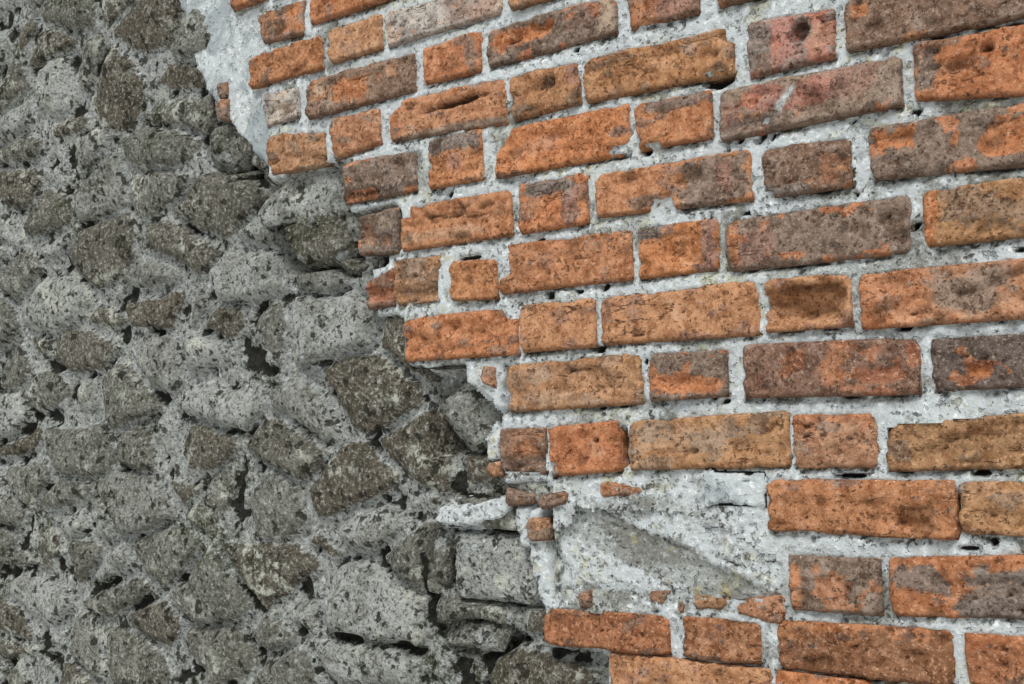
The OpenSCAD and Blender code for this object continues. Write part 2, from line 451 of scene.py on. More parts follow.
# The dark tint darkens a brick's tone where it is wide and faint; where it is small and strong, in
# bowls, by chips and along ledges, it is painted shade.
TINTS = {
    DARK_AND_SHADE: (0.065, 0.045, 0.035), GREY: (0.215, 0.175, 0.150), PINK: (0.37, 0.195, 0.145),
    PALE: (0.48, 0.36, 0.26), ORANGE: (0.52, 0.215, 0.095), LIME: (0.60, 0.63, 0.63),
    ROSE: (0.52, 0.180, 0.135),
}

# Bottom and top of the bricks of a course at the middle of the wall, and their rise to the right,
# in mm and mm a metre; the beds of an old wall wander
BEDS = {
    10: (788, 838, 14, 30), 11: (866, 935, 12, 14), 12: (956, 1022, 28, 28), 13: (1047, 1115, 22, 20),
    14: (1147, 1215, 14, 10), 15: (1238, 1306, 8, 8), 16: (1331, 1404, 8, 2), 17: (1422, 1493, 8, 2),
    18: (1519, 1587, 6, 2), 19: (1609, 1673, -12, -10), 20: (1698, 1756, 14, 16),
    21: (1780, 1835, 16, 16), 22: (1864, 1915, 24, 24), 23: (1934, 2004, 6, 4), 24: (2026, 2096, 0, 0),
    25: (2116, 2186, 0, 0),
}

# The bricks that the weather has told apart: (left, right, tone, marks), in mm from the middle, and
# where a brick lies askew, how far its lower and upper corners are off the course, left then right
WORN = {
    10: [
        (45, 258, "orange", [(DARK_AND_SHADE, 150, 810, 130, 40, 0.34)]),
        (283, 400, "orange", [(DARK_AND_SHADE, 340, 810, 70, 40, 0.38)]),
        (426, 651, "orange", [(BARE, 560, 820, 70, 18, 1), (DARK_AND_SHADE, 540, 810, 130, 40, 0.5)],
            (-4, -3, 3, 3)),
        (668, 790, "orange", [(DARK_AND_SHADE, 730, 810, 80, 40, 0.3)]),
    ],
    11: [
        (446, 566, "grey", [(ORANGE, 455, 905, 10, 34, 1), (BARE, 505, 908, 26, 20, 1),
            (LEDGE, 505, 905, 24, 16, 4), (PALE, 505, 905, 80, 40, 0.16)]),
        (580, 830, "orange", [(GREY, 745, 910, 70, 40, 1), (SKIN, 750, 910, 72, 34, 1),
            (LEDGE, 690, 915, 60, 12, 5, 0.1), (GREY, 612, 922, 36, 16, 0.8),
            (SKIN, 612, 922, 36, 16, 1)], (0, 13, 2, 16)),
        (842, 950, "tan", []),
    ],
    12: [
        (418, 663, "orange", [(DARK_AND_SHADE, 540, 990, 130, 40, 0.1), (CHIP, 446, 960, 46, 13, 12),
            (BARE, 540, 1005, 100, 26, 1), (BOWL, 600, 988, 40, 14, 5)], (6, -1, 8, 3)),
        (670, 790, "tan", [(LEDGE, 730, 996, 50, 12, 4)], (6, 4, 1, 1)),
    ],
    13: [
        (-28, 57, "brown", [(ORANGE, 14, 1094, 46, 26, 0.3), (LEDGE, 22, 1060, 46, 16, 9),
            (GREY, 22, 1060, 46, 15, 0.8)]),
        (65, 190, "orange", [(BOWL, 128, 1104, 14, 7, 8), (HOLE, 150, 1097, 8, 5, 9),
            (CHIP, 68, 1052, 9, 12, 8)], (-6, 2, 0, 7)),
        (208, 452, "tan", [(CRACK, 300, 1080, 82, 1.6, 4, 0.02), (LEDGE, 410, 1075, 44, 20, 4),
            (PALE, 290, 1100, 80, 18, 0.35)], (3, 3, 4, 10)),
        (458, 570, "orange", [(PALE, 514, 1080, 70, 40, 0.42), (HOLE, 478, 1101, 4, 3, 8),
            (HOLE, 502, 1101, 4, 3, 8), (HOLE, 536, 1099, 5, 3, 8)], (2, 0, 4, 1)),
        (583, 812, "tan", [(LEDGE, 680, 1108, 110, 10, 6, 0.05), (BOWL, 700, 1090, 60, 14, 5),
            (CRACK, 640, 1088, 40, 2, 5, 0.25), (BOWL, 640, 1076, 34, 14, 6, 0.3),
            (CRACK, 742, 1084, 36, 2, 5, 0.3), (DARK_AND_SHADE, 700, 1080, 130, 36, 0.14)], (-4, -1, -14, -2)),
    ],
    14: [
        (-12, 230, "tan", [(ORANGE, 110, 1180, 130, 40, 0.3), (PALE, 110, 1180, 130, 40, 0.2),
            (BOWL, 130, 1186, 70, 22, 9), (CRACK, 118, 1204, 50, 2.5, 6, 0.1),
            (CRACK, 200, 1190, 18, 2.2, 5), (PALE, 80, 1162, 60, 12, 0.6),
            (PALE, 52, 1200, 20, 12, 0.7), (LEDGE, 204, 1168, 16, 14, 4)], (-4, 0, 1, 6)),
        (244, 366, "grey", [(BOWL, 305, 1178, 40, 14, 6), (ORANGE, 305, 1178, 46, 12, 0.8),
            (BARE, 305, 1176, 50, 14, 1)], (3, 5, 3, 1)),
        (392, 628, "red", [(LEDGE, 590, 1178, 26, 10, 3), (ORANGE, 520, 1186, 16, 26, 0.6),
            (ORANGE, 545, 1162, 22, 6, 0.45), (CRACK, 410, 1180, 3, 16, 4)], (2, -3, 7, 1)),
        (645, 770, "burnt", [(BOWL, 701, 1182, 20, 9, 9), (ORANGE, 701, 1179, 12, 7, 1),
            (BARE, 701, 1179, 12, 7, 1)], (0, 0, -3, -3)),
    ],
    15: [
        (-228, 11, "orange", [(CHIP, 8, 1302, 20, 14, 11), (BOWL, -120, 1280, 26, 16, 6),
            (LEDGE, -190, 1256, 44, 20, 6), (BOWL, -60, 1266, 34, 10, 4)], (-3, -5, 0, 0)),
        (21, 154, "smooth", [(HOLE, 92, 1262, 6, 4, 6), (CRACK, 90, 1270, 16, 1.6, 3, 0.5)],
            (-2, -2, 2, 2)),
        (166, 417, "smooth", [(HOLE, 227, 1250, 12, 5, 9), (CRACK, 330, 1258, 30, 1.4, 2)],
            (0, -2, 0, 5)),
        (427, 546, "smooth", [(BOWL, 487, 1274, 57, 32, 13), (BOWL, 490, 1280, 52, 26, 25)],
            (1, 1, 3, 0)),
        (560, 812, "orange", [(GREY, 690, 1276, 40, 26, 0.6), (SKIN, 690, 1276, 34, 20, 1),
            (PALE, 690, 1276, 140, 40, 0.34), (ORANGE, 600, 1276, 44, 40, 0.5),
            (LEDGE, 632, 1276, 4, 34, 3), (BOWL, 600, 1290, 22, 12, 5)], (-4, -5, -3, -3)),
    ],
    16: [
        (-310, -245, "red", [(LEDGE, -270, 1350, 40, 12, 6), (BOWL, -290, 1356, 16, 10, 5)],
            (0, 0, -30, -12)),
        # The thin dark tint along this brick's ledge is painted shade.
        (-240, -145, "tan", [(LEDGE, -190, 1345, 50, 14, 10), (GREY, -200, 1382, 34, 16, 0.7),
            (PALE, -190, 1368, 60, 40, 0.36), (DARK_AND_SHADE, -195, 1350, 40, 5, 0.6)]),
        (-117, -26, "orange", [(HOLE, -50, 1348, 5, 4, 5)], (-2, -7, -13, -19)),
        (-20, 221, "orange", [(PALE, 100, 1366, 130, 40, 0.22), (ORANGE, 120, 1366, 90, 40, 0.4),
            (CHIP, -14, 1392, 16, 32, 11, -0.5), (BOWL, 92, 1378, 14, 12, 5),
            (BOWL, 70, 1356, 20, 7, 5), (CRACK, 150, 1372, 36, 1.8, 4)]),
        (233, 360, "bright", [(SKIN, 250, 1400, 30, 12, 1.4), (GREY, 250, 1400, 32, 13, 1),
            (SKIN, 346, 1374, 12, 34, 1), (PINK, 346, 1374, 12, 34, 0.7), (LEDGE, 300, 1370, 40, 24, 4),
            (ORANGE, 300, 1366, 34, 16, 0.8)]),
        (376, 627, "grey", [(ORANGE, 386, 1366, 9, 26, 1), (SKIN, 500, 1368, 120, 28, 1),
            (PINK, 420, 1362, 30, 24, 0.5), (ORANGE, 432, 1386, 8, 7, 0.7)], (-4, -5, -4, -2)),
        (645, 770, "tan", [(ORANGE, 652, 1368, 9, 28, 1), (SKIN, 700, 1380, 30, 20, 1)]),
    ],
    17: [
        (-318, -233, "grey", [(SKIN, -280, 1470, 40, 30, 1), (GREY, -275, 1457, 60, 40, 0.6),
            (DARK_AND_SHADE, -275, 1457, 60, 40, 0.16), (PALE, -262, 1474, 16, 9, 0.4),
            (LEDGE, -296, 1458, 16, 24, 7), (BOWL, -258, 1442, 15, 12, 7), (HOLE, -282, 1476, 5, 4, 7),
            (HOLE, -270, 1436, 4, 3, 6), (PALE, -300, 1440, 12, 9, 0.3)], (4, -2, -6, 2)),
        (-225, 8, "orange", [(ORANGE, -110, 1457, 130, 40, 0.35), (PALE, -110, 1457, 130, 40, 0.12),
            (CRACK, -120, 1468, 90, 3.5, 8, -0.08), (LEDGE, -110, 1456, 100, 10, 6),
            (CHIP, -222, 1492, 20, 14, 9), (PALE, -140, 1440, 70, 9, 0.4)]),
        (24, 149, "orange", [(ORANGE, 70, 1452, 34, 34, 0.5), (PINK, 120, 1456, 16, 34, 0.7),
            (SKIN, 120, 1460, 16, 34, 1), (GREY, 84, 1488, 44, 9, 1), (SKIN, 84, 1488, 44, 9, 1),
            (LEDGE, 94, 1466, 12, 18, 5)], (0, 1, 5, 6)),
        (167, 415, "orange", [(ORANGE, 230, 1462, 60, 34, 0.4), (GREY, 356, 1462, 56, 34, 0.7),
            (SKIN, 356, 1462, 54, 34, 1), (PALE, 290, 1458, 140, 40, 0.12),
            (PINK, 376, 1466, 12, 18, 0.8), (CHIP, 274, 1430, 20, 16, 12),
            (GREY, 250, 1444, 26, 9, 0.8)], (8, 0, 0, 0)),
        (434, 554, "brown", [(CHIP, 438, 1424, 8, 9, 9), (GREY, 470, 1431, 34, 9, 1),
            (SKIN, 470, 1431, 34, 9, 1), (CRACK, 464, 1441, 30, 2.5, 6, 0.15),
            (SKIN, 500, 1470, 50, 30, 1), (ORANGE, 530, 1450, 14, 20, 0.4)], (-1, -1, -2, -4)),
        (582, 830, "grey", [(ORANGE, 615, 1476, 28, 16, 1), (BARE, 615, 1476, 30, 18, 1),
            (ORANGE, 765, 1460, 40, 20, 0.7), (BARE, 765, 1460, 40, 20, 0.8)], (3, -10, 0, 0)),
    ],
    18: [
        # The thin dark tint along this brick's ledge is painted shade.
        (-351, -188, "grey", [(SKIN, -270, 1556, 80, 30, 1), (DARK_AND_SHADE, -270, 1530, 90, 5, 0.7),
            (LEDGE, -310, 1528, 40, 10, 8)]),
        (-157, -47, "orange", [(GREY, -102, 1590, 60, 20, 1), (SKIN, -102, 1590, 60, 18, 1.3),
            (PINK, -102, 1560, 14, 16, 0.9), (LEDGE, -140, 1545, 20, 20, 4)], (0, 0, 12, 12)),
        (-18, 225, "bright", [(CHIP, -12, 1584, 28, 20, 12, 1.0), (HOLE, 64, 1548, 6, 5, 7),
            (BOWL, 100, 1564, 18, 10, 4), (BOWL, 130, 1540, 40, 10, 4), (CHIP, 208, 1523, 18, 12, 9),
            (PINK, 90, 1556, 12, 10, 0.5)], (-2, -3, 4, 4)),
        (240, 359, "orange", [(GREY, 300, 1580, 60, 8, 0.7), (SKIN, 300, 1580, 60, 8, 1),
            (CRACK, 300, 1572, 40, 2, 4, 0.1), (CHIP, 262, 1522, 14, 8, 14)]),
        # The two small dark tints by this brick's chip are painted shade.
        (374, 624, "grey", [(PALE, 500, 1556, 130, 36, 0.3), (ROSE, 444, 1562, 34, 18, 0.6),
            (ROSE, 508, 1560, 30, 16, 0.6), (PINK, 560, 1562, 30, 20, 0.6),
            (LIME, 473, 1558, 13, 7, 1, 0.9), (DARK_AND_SHADE, 452, 1548, 7, 8, 0.5),
            (PINK, 392, 1544, 15, 20, 0.8), (DARK_AND_SHADE, 424, 1536, 17, 8, 0.6), (CHIP, 410, 1528, 40, 10, 6),
            (GREY, 410, 1526, 44, 12, 0.9), (SKIN, 560, 1550, 60, 30, 1)], (-8, -3, -5, -5)),
        # The dark tint in this brick's bowl is painted shade.
        (643, 775, "orange", [(BOWL, 690, 1556, 30, 12, 10), (DARK_AND_SHADE, 690, 1554, 28, 8, 0.5),
            (GREY, 656, 1554, 12, 30, 1), (HOLE, 730, 1570, 10, 7, 10),
            (CRACK, 700, 1536, 40, 2.5, 7, 0.15)], (0, -18, 4, 1)),
    ],
    19: [
        (-546, -397, "tan", [(PALE, -470, 1620, 90, 40, 0.2), (LEDGE, -500, 1612, 60, 14, 6),
            (PALE, -440, 1590, 60, 10, 0.6)], (-18, -19, -8, -23)),
        (-381, -268, "orange", [(PALE, -325, 1640, 90, 40, 0.24), (BOWL, -330, 1640, 22, 12, 4)],
            (-13, -1, -2, -4)),
        (-242, 4, "bright", [(GOUGE, -96, 1653, 82, 8, 20, 0.07), (GREY, -110, 1610, 120, 8, 1),
            (PALE, -120, 1640, 130, 40, 0.28), (LEDGE, -60, 1640, 50, 14, 5),
            (PALE, -196, 1626, 8, 6, 0.8), (CHIP, -240, 1670, 26, 14, 10, 0.4)], (0, -9, 2, 0)),
        # The dark tint in this brick's bowl is painted shade.
        (16, 143, "tan", [(BOWL, 84, 1648, 20, 13, 12), (DARK_AND_SHADE, 86, 1650, 12, 10, 0.8),
            (PINK, 132, 1660, 9, 22, 0.9)], (-6, 1, 0, 0)),
        (154, 396, "tan", [(ORANGE, 280, 1640, 130, 36, 0.3), (CRACK, 216, 1664, 52, 2.5, 6, -0.04),
            (CRACK, 330, 1662, 50, 2.5, 6, 0.02), (LEDGE, 240, 1650, 70, 8, 4),
            (CHIP, 372, 1608, 22, 8, 14), (CHIP, 394, 1664, 7, 14, 9)]),
        (420, 541, "pink", [(GREY, 440, 1630, 20, 34, 0.9), (ROSE, 472, 1640, 20, 34, 0.5),
            (ROSE, 524, 1656, 10, 14, 0.5), (GREY, 500, 1642, 14, 17, 0.9),
            (BOWL, 494, 1642, 13, 15, 22), (PALE, 520, 1630, 18, 20, 0.3)], (-10, -4, 0, -5)),
        (557, 805, "brown", [(ORANGE, 575, 1652, 10, 8, 1), (SKIN, 680, 1630, 120, 28, 1)]),
    ],
    20: [
        (-555, -465, "pale", [(LEDGE, -510, 1710, 40, 14, 6), (LIME, -510, 1720, 60, 44, 0.3)]),
        (-435, -184, "brown", [(PALE, -310, 1727, 130, 40, 0.18), (ORANGE, -330, 1722, 46, 18, 0.8),
            (BARE, -330, 1722, 46, 18, 1), (PALE, -406, 1730, 12, 12, 0.9),
            (CRACK, -300, 1735, 60, 2.5, 5)], (-9, -6, 0, 0)),
        (-163, -44, "bright", [(PALE, -110, 1730, 80, 40, 0.16), (GREY, -60, 1730, 12, 34, 0.8),
            (PALE, -100, 1760, 40, 6, 0.6)], (0, -3, 3, 2)),
        (-27, 211, "grey", [(BOWL, 44, 1736, 50, 12, 7), (ORANGE, 44, 1736, 52, 13, 1),
            (BARE, 44, 1736, 50, 12, 1), (GOUGE, 24, 1727, 18, 4, 13), (BOWL, 92, 1742, 12, 12, 8),
            (PALE, 196, 1738, 12, 30, 0.8), (ORANGE, 132, 1762, 14, 8, 0.9),
            (PINK, 150, 1740, 30, 16, 0.3)]),
        (234, 346, "red", [(PALE, 290, 1728, 80, 40, 0.16), (ORANGE, 262, 1722, 22, 18, 0.7),
            (PINK, 310, 1730, 30, 22, 0.9), (CHIP, 268, 1700, 22, 7, 9)]),
        (378, 625, "brown", []),
    ],
    21: [
        (-590, -400, "orange", [(DARK_AND_SHADE, -495, 1800, 120, 40, 0.14), (BOWL, -500, 1800, 40, 12, 5)],
            (-2, -4, 1, 1)),
        (-378, -256, "smooth", [(PALE, -317, 1800, 70, 40, 0.2)], (0, 0, 5, 4)),
        (-244, 0, "pale", [(LIME, -122, 1806, 140, 44, 0.26), (PINK, -60, 1806, 50, 22, 0.4)]),
        (20, 140, "tan", []),
    ],
    22: [
        (-560, -443, "brown", [(ORANGE, -470, 1875, 26, 24, 0.9)], (-2, -13, 0, 0)),
        (-427, -190, "orange", []),
        (-165, -45, "bright", []),
    ],
    23: [
        (-640, -538, "orange", []),
    ],
}

# Slivers and broken bricks in the repair: (left, right, bottom, top, tone) in mm, and how far the
# lower and upper corners are off, left then right
SLIVERS = [
    (107, 130, 846, 871, "brown", 2, -2, -6, 3), (228, 257, 862, 879, "brown", 3, 0, -3, 1),
    (274, 286, 852, 870, "brown", 0, 2, 3, -2), (300, 350, 860, 875, "tan", 0, 3, 0, 3),
    (364, 434, 852, 878, "orange", 7, -3, -4, 10), (-22, 24, 998, 1018, "brown", -3, 2, 4, -6),
    (42, 92, 994, 1012, "brown", -2, 9, 0, 8), (152, 229, 1014, 1033, "orange", 0, 3, 3, -3),
    (18, 54, 942, 978, "tan", 0, 3, -2, 0), (-690, -667, 1764, 1797, "brown", 3, 0, -4, 0),
    (-689, -664, 1720, 1760, "brown", 6, 0, 0, 2), (-57, -33, 1041, 1060, "tan", 4, 0, 0, 5),
    (-64, -38, 1185, 1219, "smooth", 8, -3, -2, -6),
]

# Deep holes in the mortar: (x, z, half width, half height, depth) in mm
MORTAR_HOLES = [
    (-284, 1410, 32, 14, 44), (158, 1146, 5, 4, 12), (196, 1149, 9, 6, 16), (342, 1155, 5, 4, 12),
    (361, 1149, 7, 4, 12), (413, 1151, 5, 4, 12), (249, 1097, 4, 4, 8), (195, 1085, 8, 38, 34),
    (662, 1005, 7, 34, 26), (534, 1048, 30, 5, 26), (694, 1055, 17, 4, 20), (611, 1237, 12, 4, 22),
    (632, 1365, 6, 8, 20), (754, 1321, 8, 5, 18), (368, 1601, 27, 14, 30), (670, 1599, 12, 4, 22),
    (752, 1592, 20, 4, 22), (704, 970, 9, 5, 24), (678, 963, 18, 3, 14), (250, 1519, 10, 8, 26),
    (128, 1322, 8, 4, 14), (430, 1508, 7, 5, 18), (448, 1507, 5, 4, 14), (398, 1512, 6, 5, 16),
    (140, 1691, 6, 4, 14), (-118, 1504, 9, 7, 20), (160, 1232, 10, 7, 22), (60, 1410, 9, 4, 12),
    (350, 1411, 8, 3, 14), (404, 1408, 6, 4, 14), (-78, 1395, 34, 3, 12), (560, 1412, 5, 4, 16),
    (380, 1498, 7, 4, 14), (73, 1320, 12, 6, 18), (640, 1508, 8, 4, 16), (172, 1326, 9, 7, 18),
    (237, 1212, 5, 7, 18), (560, 1508, 6, 3, 12), (-60, 1140, 6, 4, 10),
]


def mark_shape(kind, x, z, half_w, half_h, amount, slope=0.0):
    """A worn place in metres; its amount stays a share for a tint and mm for a dip."""
    return kind, x * MM, z * MM, half_w * MM, half_h * MM, amount, slope


def mark_weight(x, z, mark, ragged):
    """How far inside a worn place a point is: 0 outside, 1 in its middle."""
    kind, cx, cz, half_w, half_h, _, slope = mark
    across = (x - cx) / half_w
    along = (z - cz - slope * (x - cx)) / half_h
    power = 2 if kind in NARROW else 4
    reach = (abs(across) ** power + abs(along) ** power) ** (1 / power) + ragged
    if kind == BOWL:
        return max(0.0, 1 - reach * reach) ** 0.7
    if kind in NARROW:
        return soft(1 - reach, 0.0, 0.6)
    return soft(1.1 - reach, 0.0, 0.22)


# How far a brick's mesh reaches into its joints, the round of its corners, its worn rim, the depth
# in mm from which a bowl gets painted shadow under its upper rim, and the corners of a brick that
# doesn't lie askew
SWELL = 1.5 * MM
CORNER = 13 * MM
WORN_EDGE = 5 * MM
BOWL_SHADOW_DEPTH = 20
SQUARE = (0, 0, 0, 0)


class Brick:
    """One brick: where its face is, how its clay looks and what the weather did to it."""

    def __init__(self, left, right, bottom, top, tone, marks=(), seed=0, depth=BRICK_W, askew=SQUARE):
        self.left, self.right = left - SWELL, right + SWELL
        self.bottom, self.top = bottom - SWELL, top + SWELL
        self.low_left, self.low_right, self.high_left, self.high_right = askew
        self.body, self.skin, self.skin_share, self.pitted = TONES[tone]
        self.marks = [mark_shape(*mark) for mark in marks]
        self.seed = seed
        self.depth = depth
        draw = Random(seed)
        self.proud = PROUD + draw.uniform(-2.0, 2.5) * MM
        self.lean = draw.uniform(-1.5, 1.5) * MM
        self.nod = draw.uniform(-2.5, 2.5) * MM
        self.worn = WORN_EDGE + draw.uniform(-1.0, 2.0) * MM
        self.cavities = self.draw_cavities(draw)
        shade = draw.uniform(0.98, 1.14)
        warm = draw.uniform(0.95, 1.08)
        self.body = tuple(c * shade * w for c, w in zip(self.body, (1, warm, warm)))
        self.skin = tuple(c * shade for c in self.skin)

    def draw_cavities(self, draw):
        """Small holes where grit has fallen out, more of them in the softer bricks."""
        holes = []
        for _ in range(round(self.pitted * draw.uniform(2, 9) * (self.right - self.left) / BRICK_L)):
            x = draw.uniform(self.left + 12 * MM, self.right - 12 * MM)
            z = draw.uniform(self.bottom + 10 * MM, self.top - 10 * MM)
            half = draw.uniform(2.0, 6.0)
            holes.append((HOLE, x, z, half * MM, half * draw.uniform(0.45, 0.8) * MM,
                          half * draw.uniform(0.8, 1.5), draw.uniform(-0.4, 0.4)))
        return holes

    def across(self, x):
        """Share of the way from the left end to the right."""
        return (x - self.left) / (self.right - self.left)

    def low(self, x):
        """Height of the underside at x."""
        return self.bottom + self.low_left + (self.low_right - self.low_left) * self.across(x)

    def high(self, x):
        """Height of the top at x."""
        return self.top + self.high_left + (self.high_right - self.high_left) * self.across(x)

    def edge(self, x, z):
        """Distance to the nearest edge, with rounded corners."""
        across = min(x - self.left, self.right - x)
        along = min(z - self.low(x), self.high(x) - z)
        if across < CORNER and along < CORNER:
            return CORNER - math.hypot(CORNER - across, CORNER - along)
        return min(across, along)

    def surface(self, x, z):
        """Height out of the nominal face, skin share, painted-shade share and tints at a point."""
        seed = self.seed
        u = self.across(x) - 0.5
        v = (z - self.bottom) / (self.top - self.bottom) - 0.5
        broad = turbulence(0.6 * x, z, seed, 54 * MM, 3)
        middling = turbulence(0.7 * x, z, seed + 40, 15 * MM, 3)
        fine = noise.noise(Vector((x / (4.5 * MM), z / (4.5 * MM), seed)))
        height = self.proud + self.lean * u + self.nod * v
        height += (2.6 * broad + 1.9 * middling * (0.45 + self.pitted) + 0.6 * fine) * MM
        scoop = max(0.0, turbulence(0.6 * x, z, seed + 160, 24 * MM, 4) - 0.16) * (0.35 + self.pitted)
        height -= 10 * MM * scoop
        worn = turbulence(0.7 * x, z, seed + 80, 31 * MM, 4)
        skin = soft(worn + (self.skin_share - 0.5) * 1.5, -0.12, 0.12)
        pit = turbulence(x, z, seed + 120, 11 * MM, 2)
        height -= max(0.0, pit - 0.42) * 9 * MM * self.pitted
        flake = steps(broad * 0.5 + 0.5 + middling * 0.12, 3) * 4.0 * MM * self.pitted
        height += flake - 2.0 * MM * self.pitted
        painted_shade = 0.0
        # Painted shade in the small holes.
        for hole in self.cavities:
            if abs(x - hole[1]) < 1.5 * hole[3] and abs(z - hole[2]) < 2 * hole[4]:
                share = mark_weight(x, z, hole, 0.3 * middling + 0.2 * fine)
                height -= share * hole[5] * MM
                painted_shade = max(painted_shade, 0.75 * share)
        height, skin, painted_shade, tints = self.marked(x, z, (broad, middling, fine), height, skin, painted_shade)
        # Painted shade in the low places of the relief and in the scoops.
        painted_shade = max(painted_shade, 0.38 * soft(-middling - 0.5 * broad, 0.10, 0.85), min(0.56, 1.3 * scoop))
        height += 1.7 * MM * skin
        edge = self.edge(x, z) + (1.7 * middling + 2.4 * broad + 0.8 * fine) * MM
        # Painted shade: a dark line along the brick's lower edge.
        under = z - self.low(x) + (1.2 * middling + 0.6 * fine) * MM
        painted_shade = max(painted_shade, 0.62 * (1 - soft(under, 2.5 * MM, 8 * MM)))
        if edge < self.worn:
            inside = self.worn - max(edge, 0.0)
            height -= self.worn - math.sqrt(max(0.0, self.worn ** 2 - inside ** 2))
            height -= max(0.0, -edge) * 1.2
            skin *= soft(edge, -6 * MM, 0.0)
        return height, skin, painted_shade, tints

    def marked(self, x, z, rough, height, skin, painted_shade):
        """What the marks make of the height and the two shares at a point, and their tints."""
        broad, middling, fine = rough
        tints = []
        for mark in self.marks:
            kind, amount = mark[0], mark[5]
            stain = kind in TINTS or kind in (SKIN, BARE)
            wild = 2.6 if stain else 1.0
            share = mark_weight(x, z, mark, wild * (0.16 * middling + 0.08 * fine + 0.14 * broad))
            if share <= 0:
                continue
            if kind in TINTS:
                tints.append((TINTS[kind], min(1.0, share * amount)))
            elif kind == SKIN:
                skin = max(skin, share)
            elif kind == BARE:
                skin *= 1 - share
            else:
                height -= share * amount * MM
                skin *= 1 - 0.8 * share
                # Painted shade inside the narrow marks.
                if kind in NARROW:
                    painted_shade = max(painted_shade, share * min(1.0, amount / 14))
                # Painted shadow under the upper rim of a deep bowl.
                if kind == BOWL and amount > BOWL_SHADOW_DEPTH:
                    roof_shadow = soft(z - mark[2] + 3 * MM * broad, -0.1 * mark[4], 0.9 * mark[4])
                    painted_shade = max(painted_shade, 0.80 * roof_shadow * soft(share, 0.05, 0.4))
        return height, skin, painted_shade, tints


# Colours that every point of a brick carries, under the names that its material reads
BRICK_PAINT = ("body", "skin", "masks")


def new_mesh(*names):
    """An empty mesh and the layers of its colours, in the order of their names."""
    bm = bmesh.new()
    return bm, *(bm.verts.layers.float_color.new(name) for name in names)


def blend(colour, tints):
    for tint, share in tints:
        colour = tuple(a + (b - a) * share for a, b in zip(colour, tint))
    return (*colour, 1.0)


def add_grid(bm, left, right, bottom, top, cell):
    """A flat grid of cells, its points placed at (x, z, 0)."""
    columns = max(2, round((right - left) / cell))
    rows = max(2, round((top - bottom) / cell))
    made = bmesh.ops.create_grid(bm, x_segments=columns, y_segments=rows, size=1.0)
    for v in made["verts"]:
        v.co.x = left + (v.co.x + 1) / 2 * (right - left)
        v.co.y = bottom + (v.co.y + 1) / 2 * (top - bottom)
    return made["verts"]


def close_behind(bm, verts, depths, ragged=0.0, seed=0):
    """Runs the free border of a sheet back in rings and closes it with one face."""
    edges = unique(e for v in verts for e in v.link_edges)
    border = [e for e in edges if len(e.link_faces) == 1]
    made = list(verts)
    for depth in depths:
        ring = bmesh.ops.extrude_edge_only(bm, edges=border)["geom"]
        rim = points_of(ring)
        border = [e for e in ring if isinstance(e, bmesh.types.BMEdge)
                  and len(e.link_faces) == 1 and all(v in rim for v in e.verts)]
        for v in rim:
            v.co.z = -depth
            if ragged:
                v.co.x += ragged * noise.noise(Vector((depth * 80, v.co.y * 60, seed)))
            made.append(v)
    bmesh.ops.contextual_create(bm, geom=border)
    return made


def unique(parts):
    """Parts of a mesh once each and in their order, so that every run gives the same mesh."""
    return dict.fromkeys(parts)


def points_of(geometry):
    return unique(v for v in geometry if isinstance(v, bmesh.types.BMVert))


def add_brick(bm, layers, place, brick, cell, rings=()):
    """Adds one brick to a mesh: its weathered face, its sides and its hidden back."""
    body_layer, skin_layer, mask_layer = layers
    verts = add_grid(bm, brick.left, brick.right, brick.bottom, brick.top, cell)
    for v in verts:
        share = (v.co.y - brick.bottom) / (brick.top - brick.bottom)
        v.co.y = brick.low(v.co.x) + (brick.high(v.co.x) - brick.low(v.co.x)) * share
        height, skin, painted_shade, tints = brick.surface(v.co.x, v.co.y)
        v[body_layer] = blend(brick.body, tints)
        v[skin_layer] = blend(brick.skin, tints)
        edge = brick.edge(v.co.x, v.co.y)
        lime = 0.20 * (1 - soft(edge, 0.0, 10 * MM)) + 0.10 * (1 - soft(edge, 8 * MM, 30 * MM))
        v[mask_layer] = (skin, painted_shade, lime, 1.0)
        v.co.z = height
    depths = [*rings, brick.depth]
    verts = close_behind(bm, verts, depths, 3.5 * MM if rings else 0.0, brick.seed)
    bmesh.ops.transform(bm, matrix=place, verts=verts)


def finish_piece(bm, name, material, nodes=()):
    """Makes a finished mesh into a piece of the wall that stands for the given nodes."""
    bmesh.ops.recalc_face_normals(bm, faces=bm.faces)
    mesh = bpy.data.meshes.new(name)
    bm.to_mesh(mesh)
    bm.free()
    mesh.materials.append(material)
    for polygon in mesh.polygons:
        polygon.use_smooth = True
    piece = bpy.data.objects.new(name, mesh)
    bpy.context.scene.collection.objects.link(piece)
    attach(piece, "root")
    if nodes:
        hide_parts(*nodes)


# The bond: which bricks a course is laid of

# In mm: a header and a stretcher with their joints, the middles of a header in the odd and the even
# courses, half a header, the ends of a stretcher from that middle, and the least piece of a brick
BOND = 399
HEADER_ODD = 85
HEADER_EVEN = 287
HALF_HEADER = 62.5
STRETCHER = (74.5, 324.5)
LEAST_PIECE = 55


def bond_row(tie, start, stop):
    """Left and right ends in mm of the bricks of one course, headers and stretchers in turn."""
    first = HEADER_ODD if tie % 2 else HEADER_EVEN
    centre = first - BOND * math.ceil((first - start) / BOND + 1)
    ends = []
    while centre < stop + BOND:
        ends += [(centre - HALF_HEADER, centre + HALF_HEADER),
                 (centre + STRETCHER[0], centre + STRETCHER[1])]
        centre += BOND
    ends = [(max(a, start), min(b, stop)) for a, b in ends if b > start and a < stop]
    if ends[0][1] - ends[0][0] < LEAST_PIECE:
        ends[:2] = [(ends[0][0], ends[1][1])]
    if ends[-1][1] - ends[-1][0] < LEAST_PIECE:
        ends[-2:] = [(ends[-2][0], ends[-1][1])]
    return ends


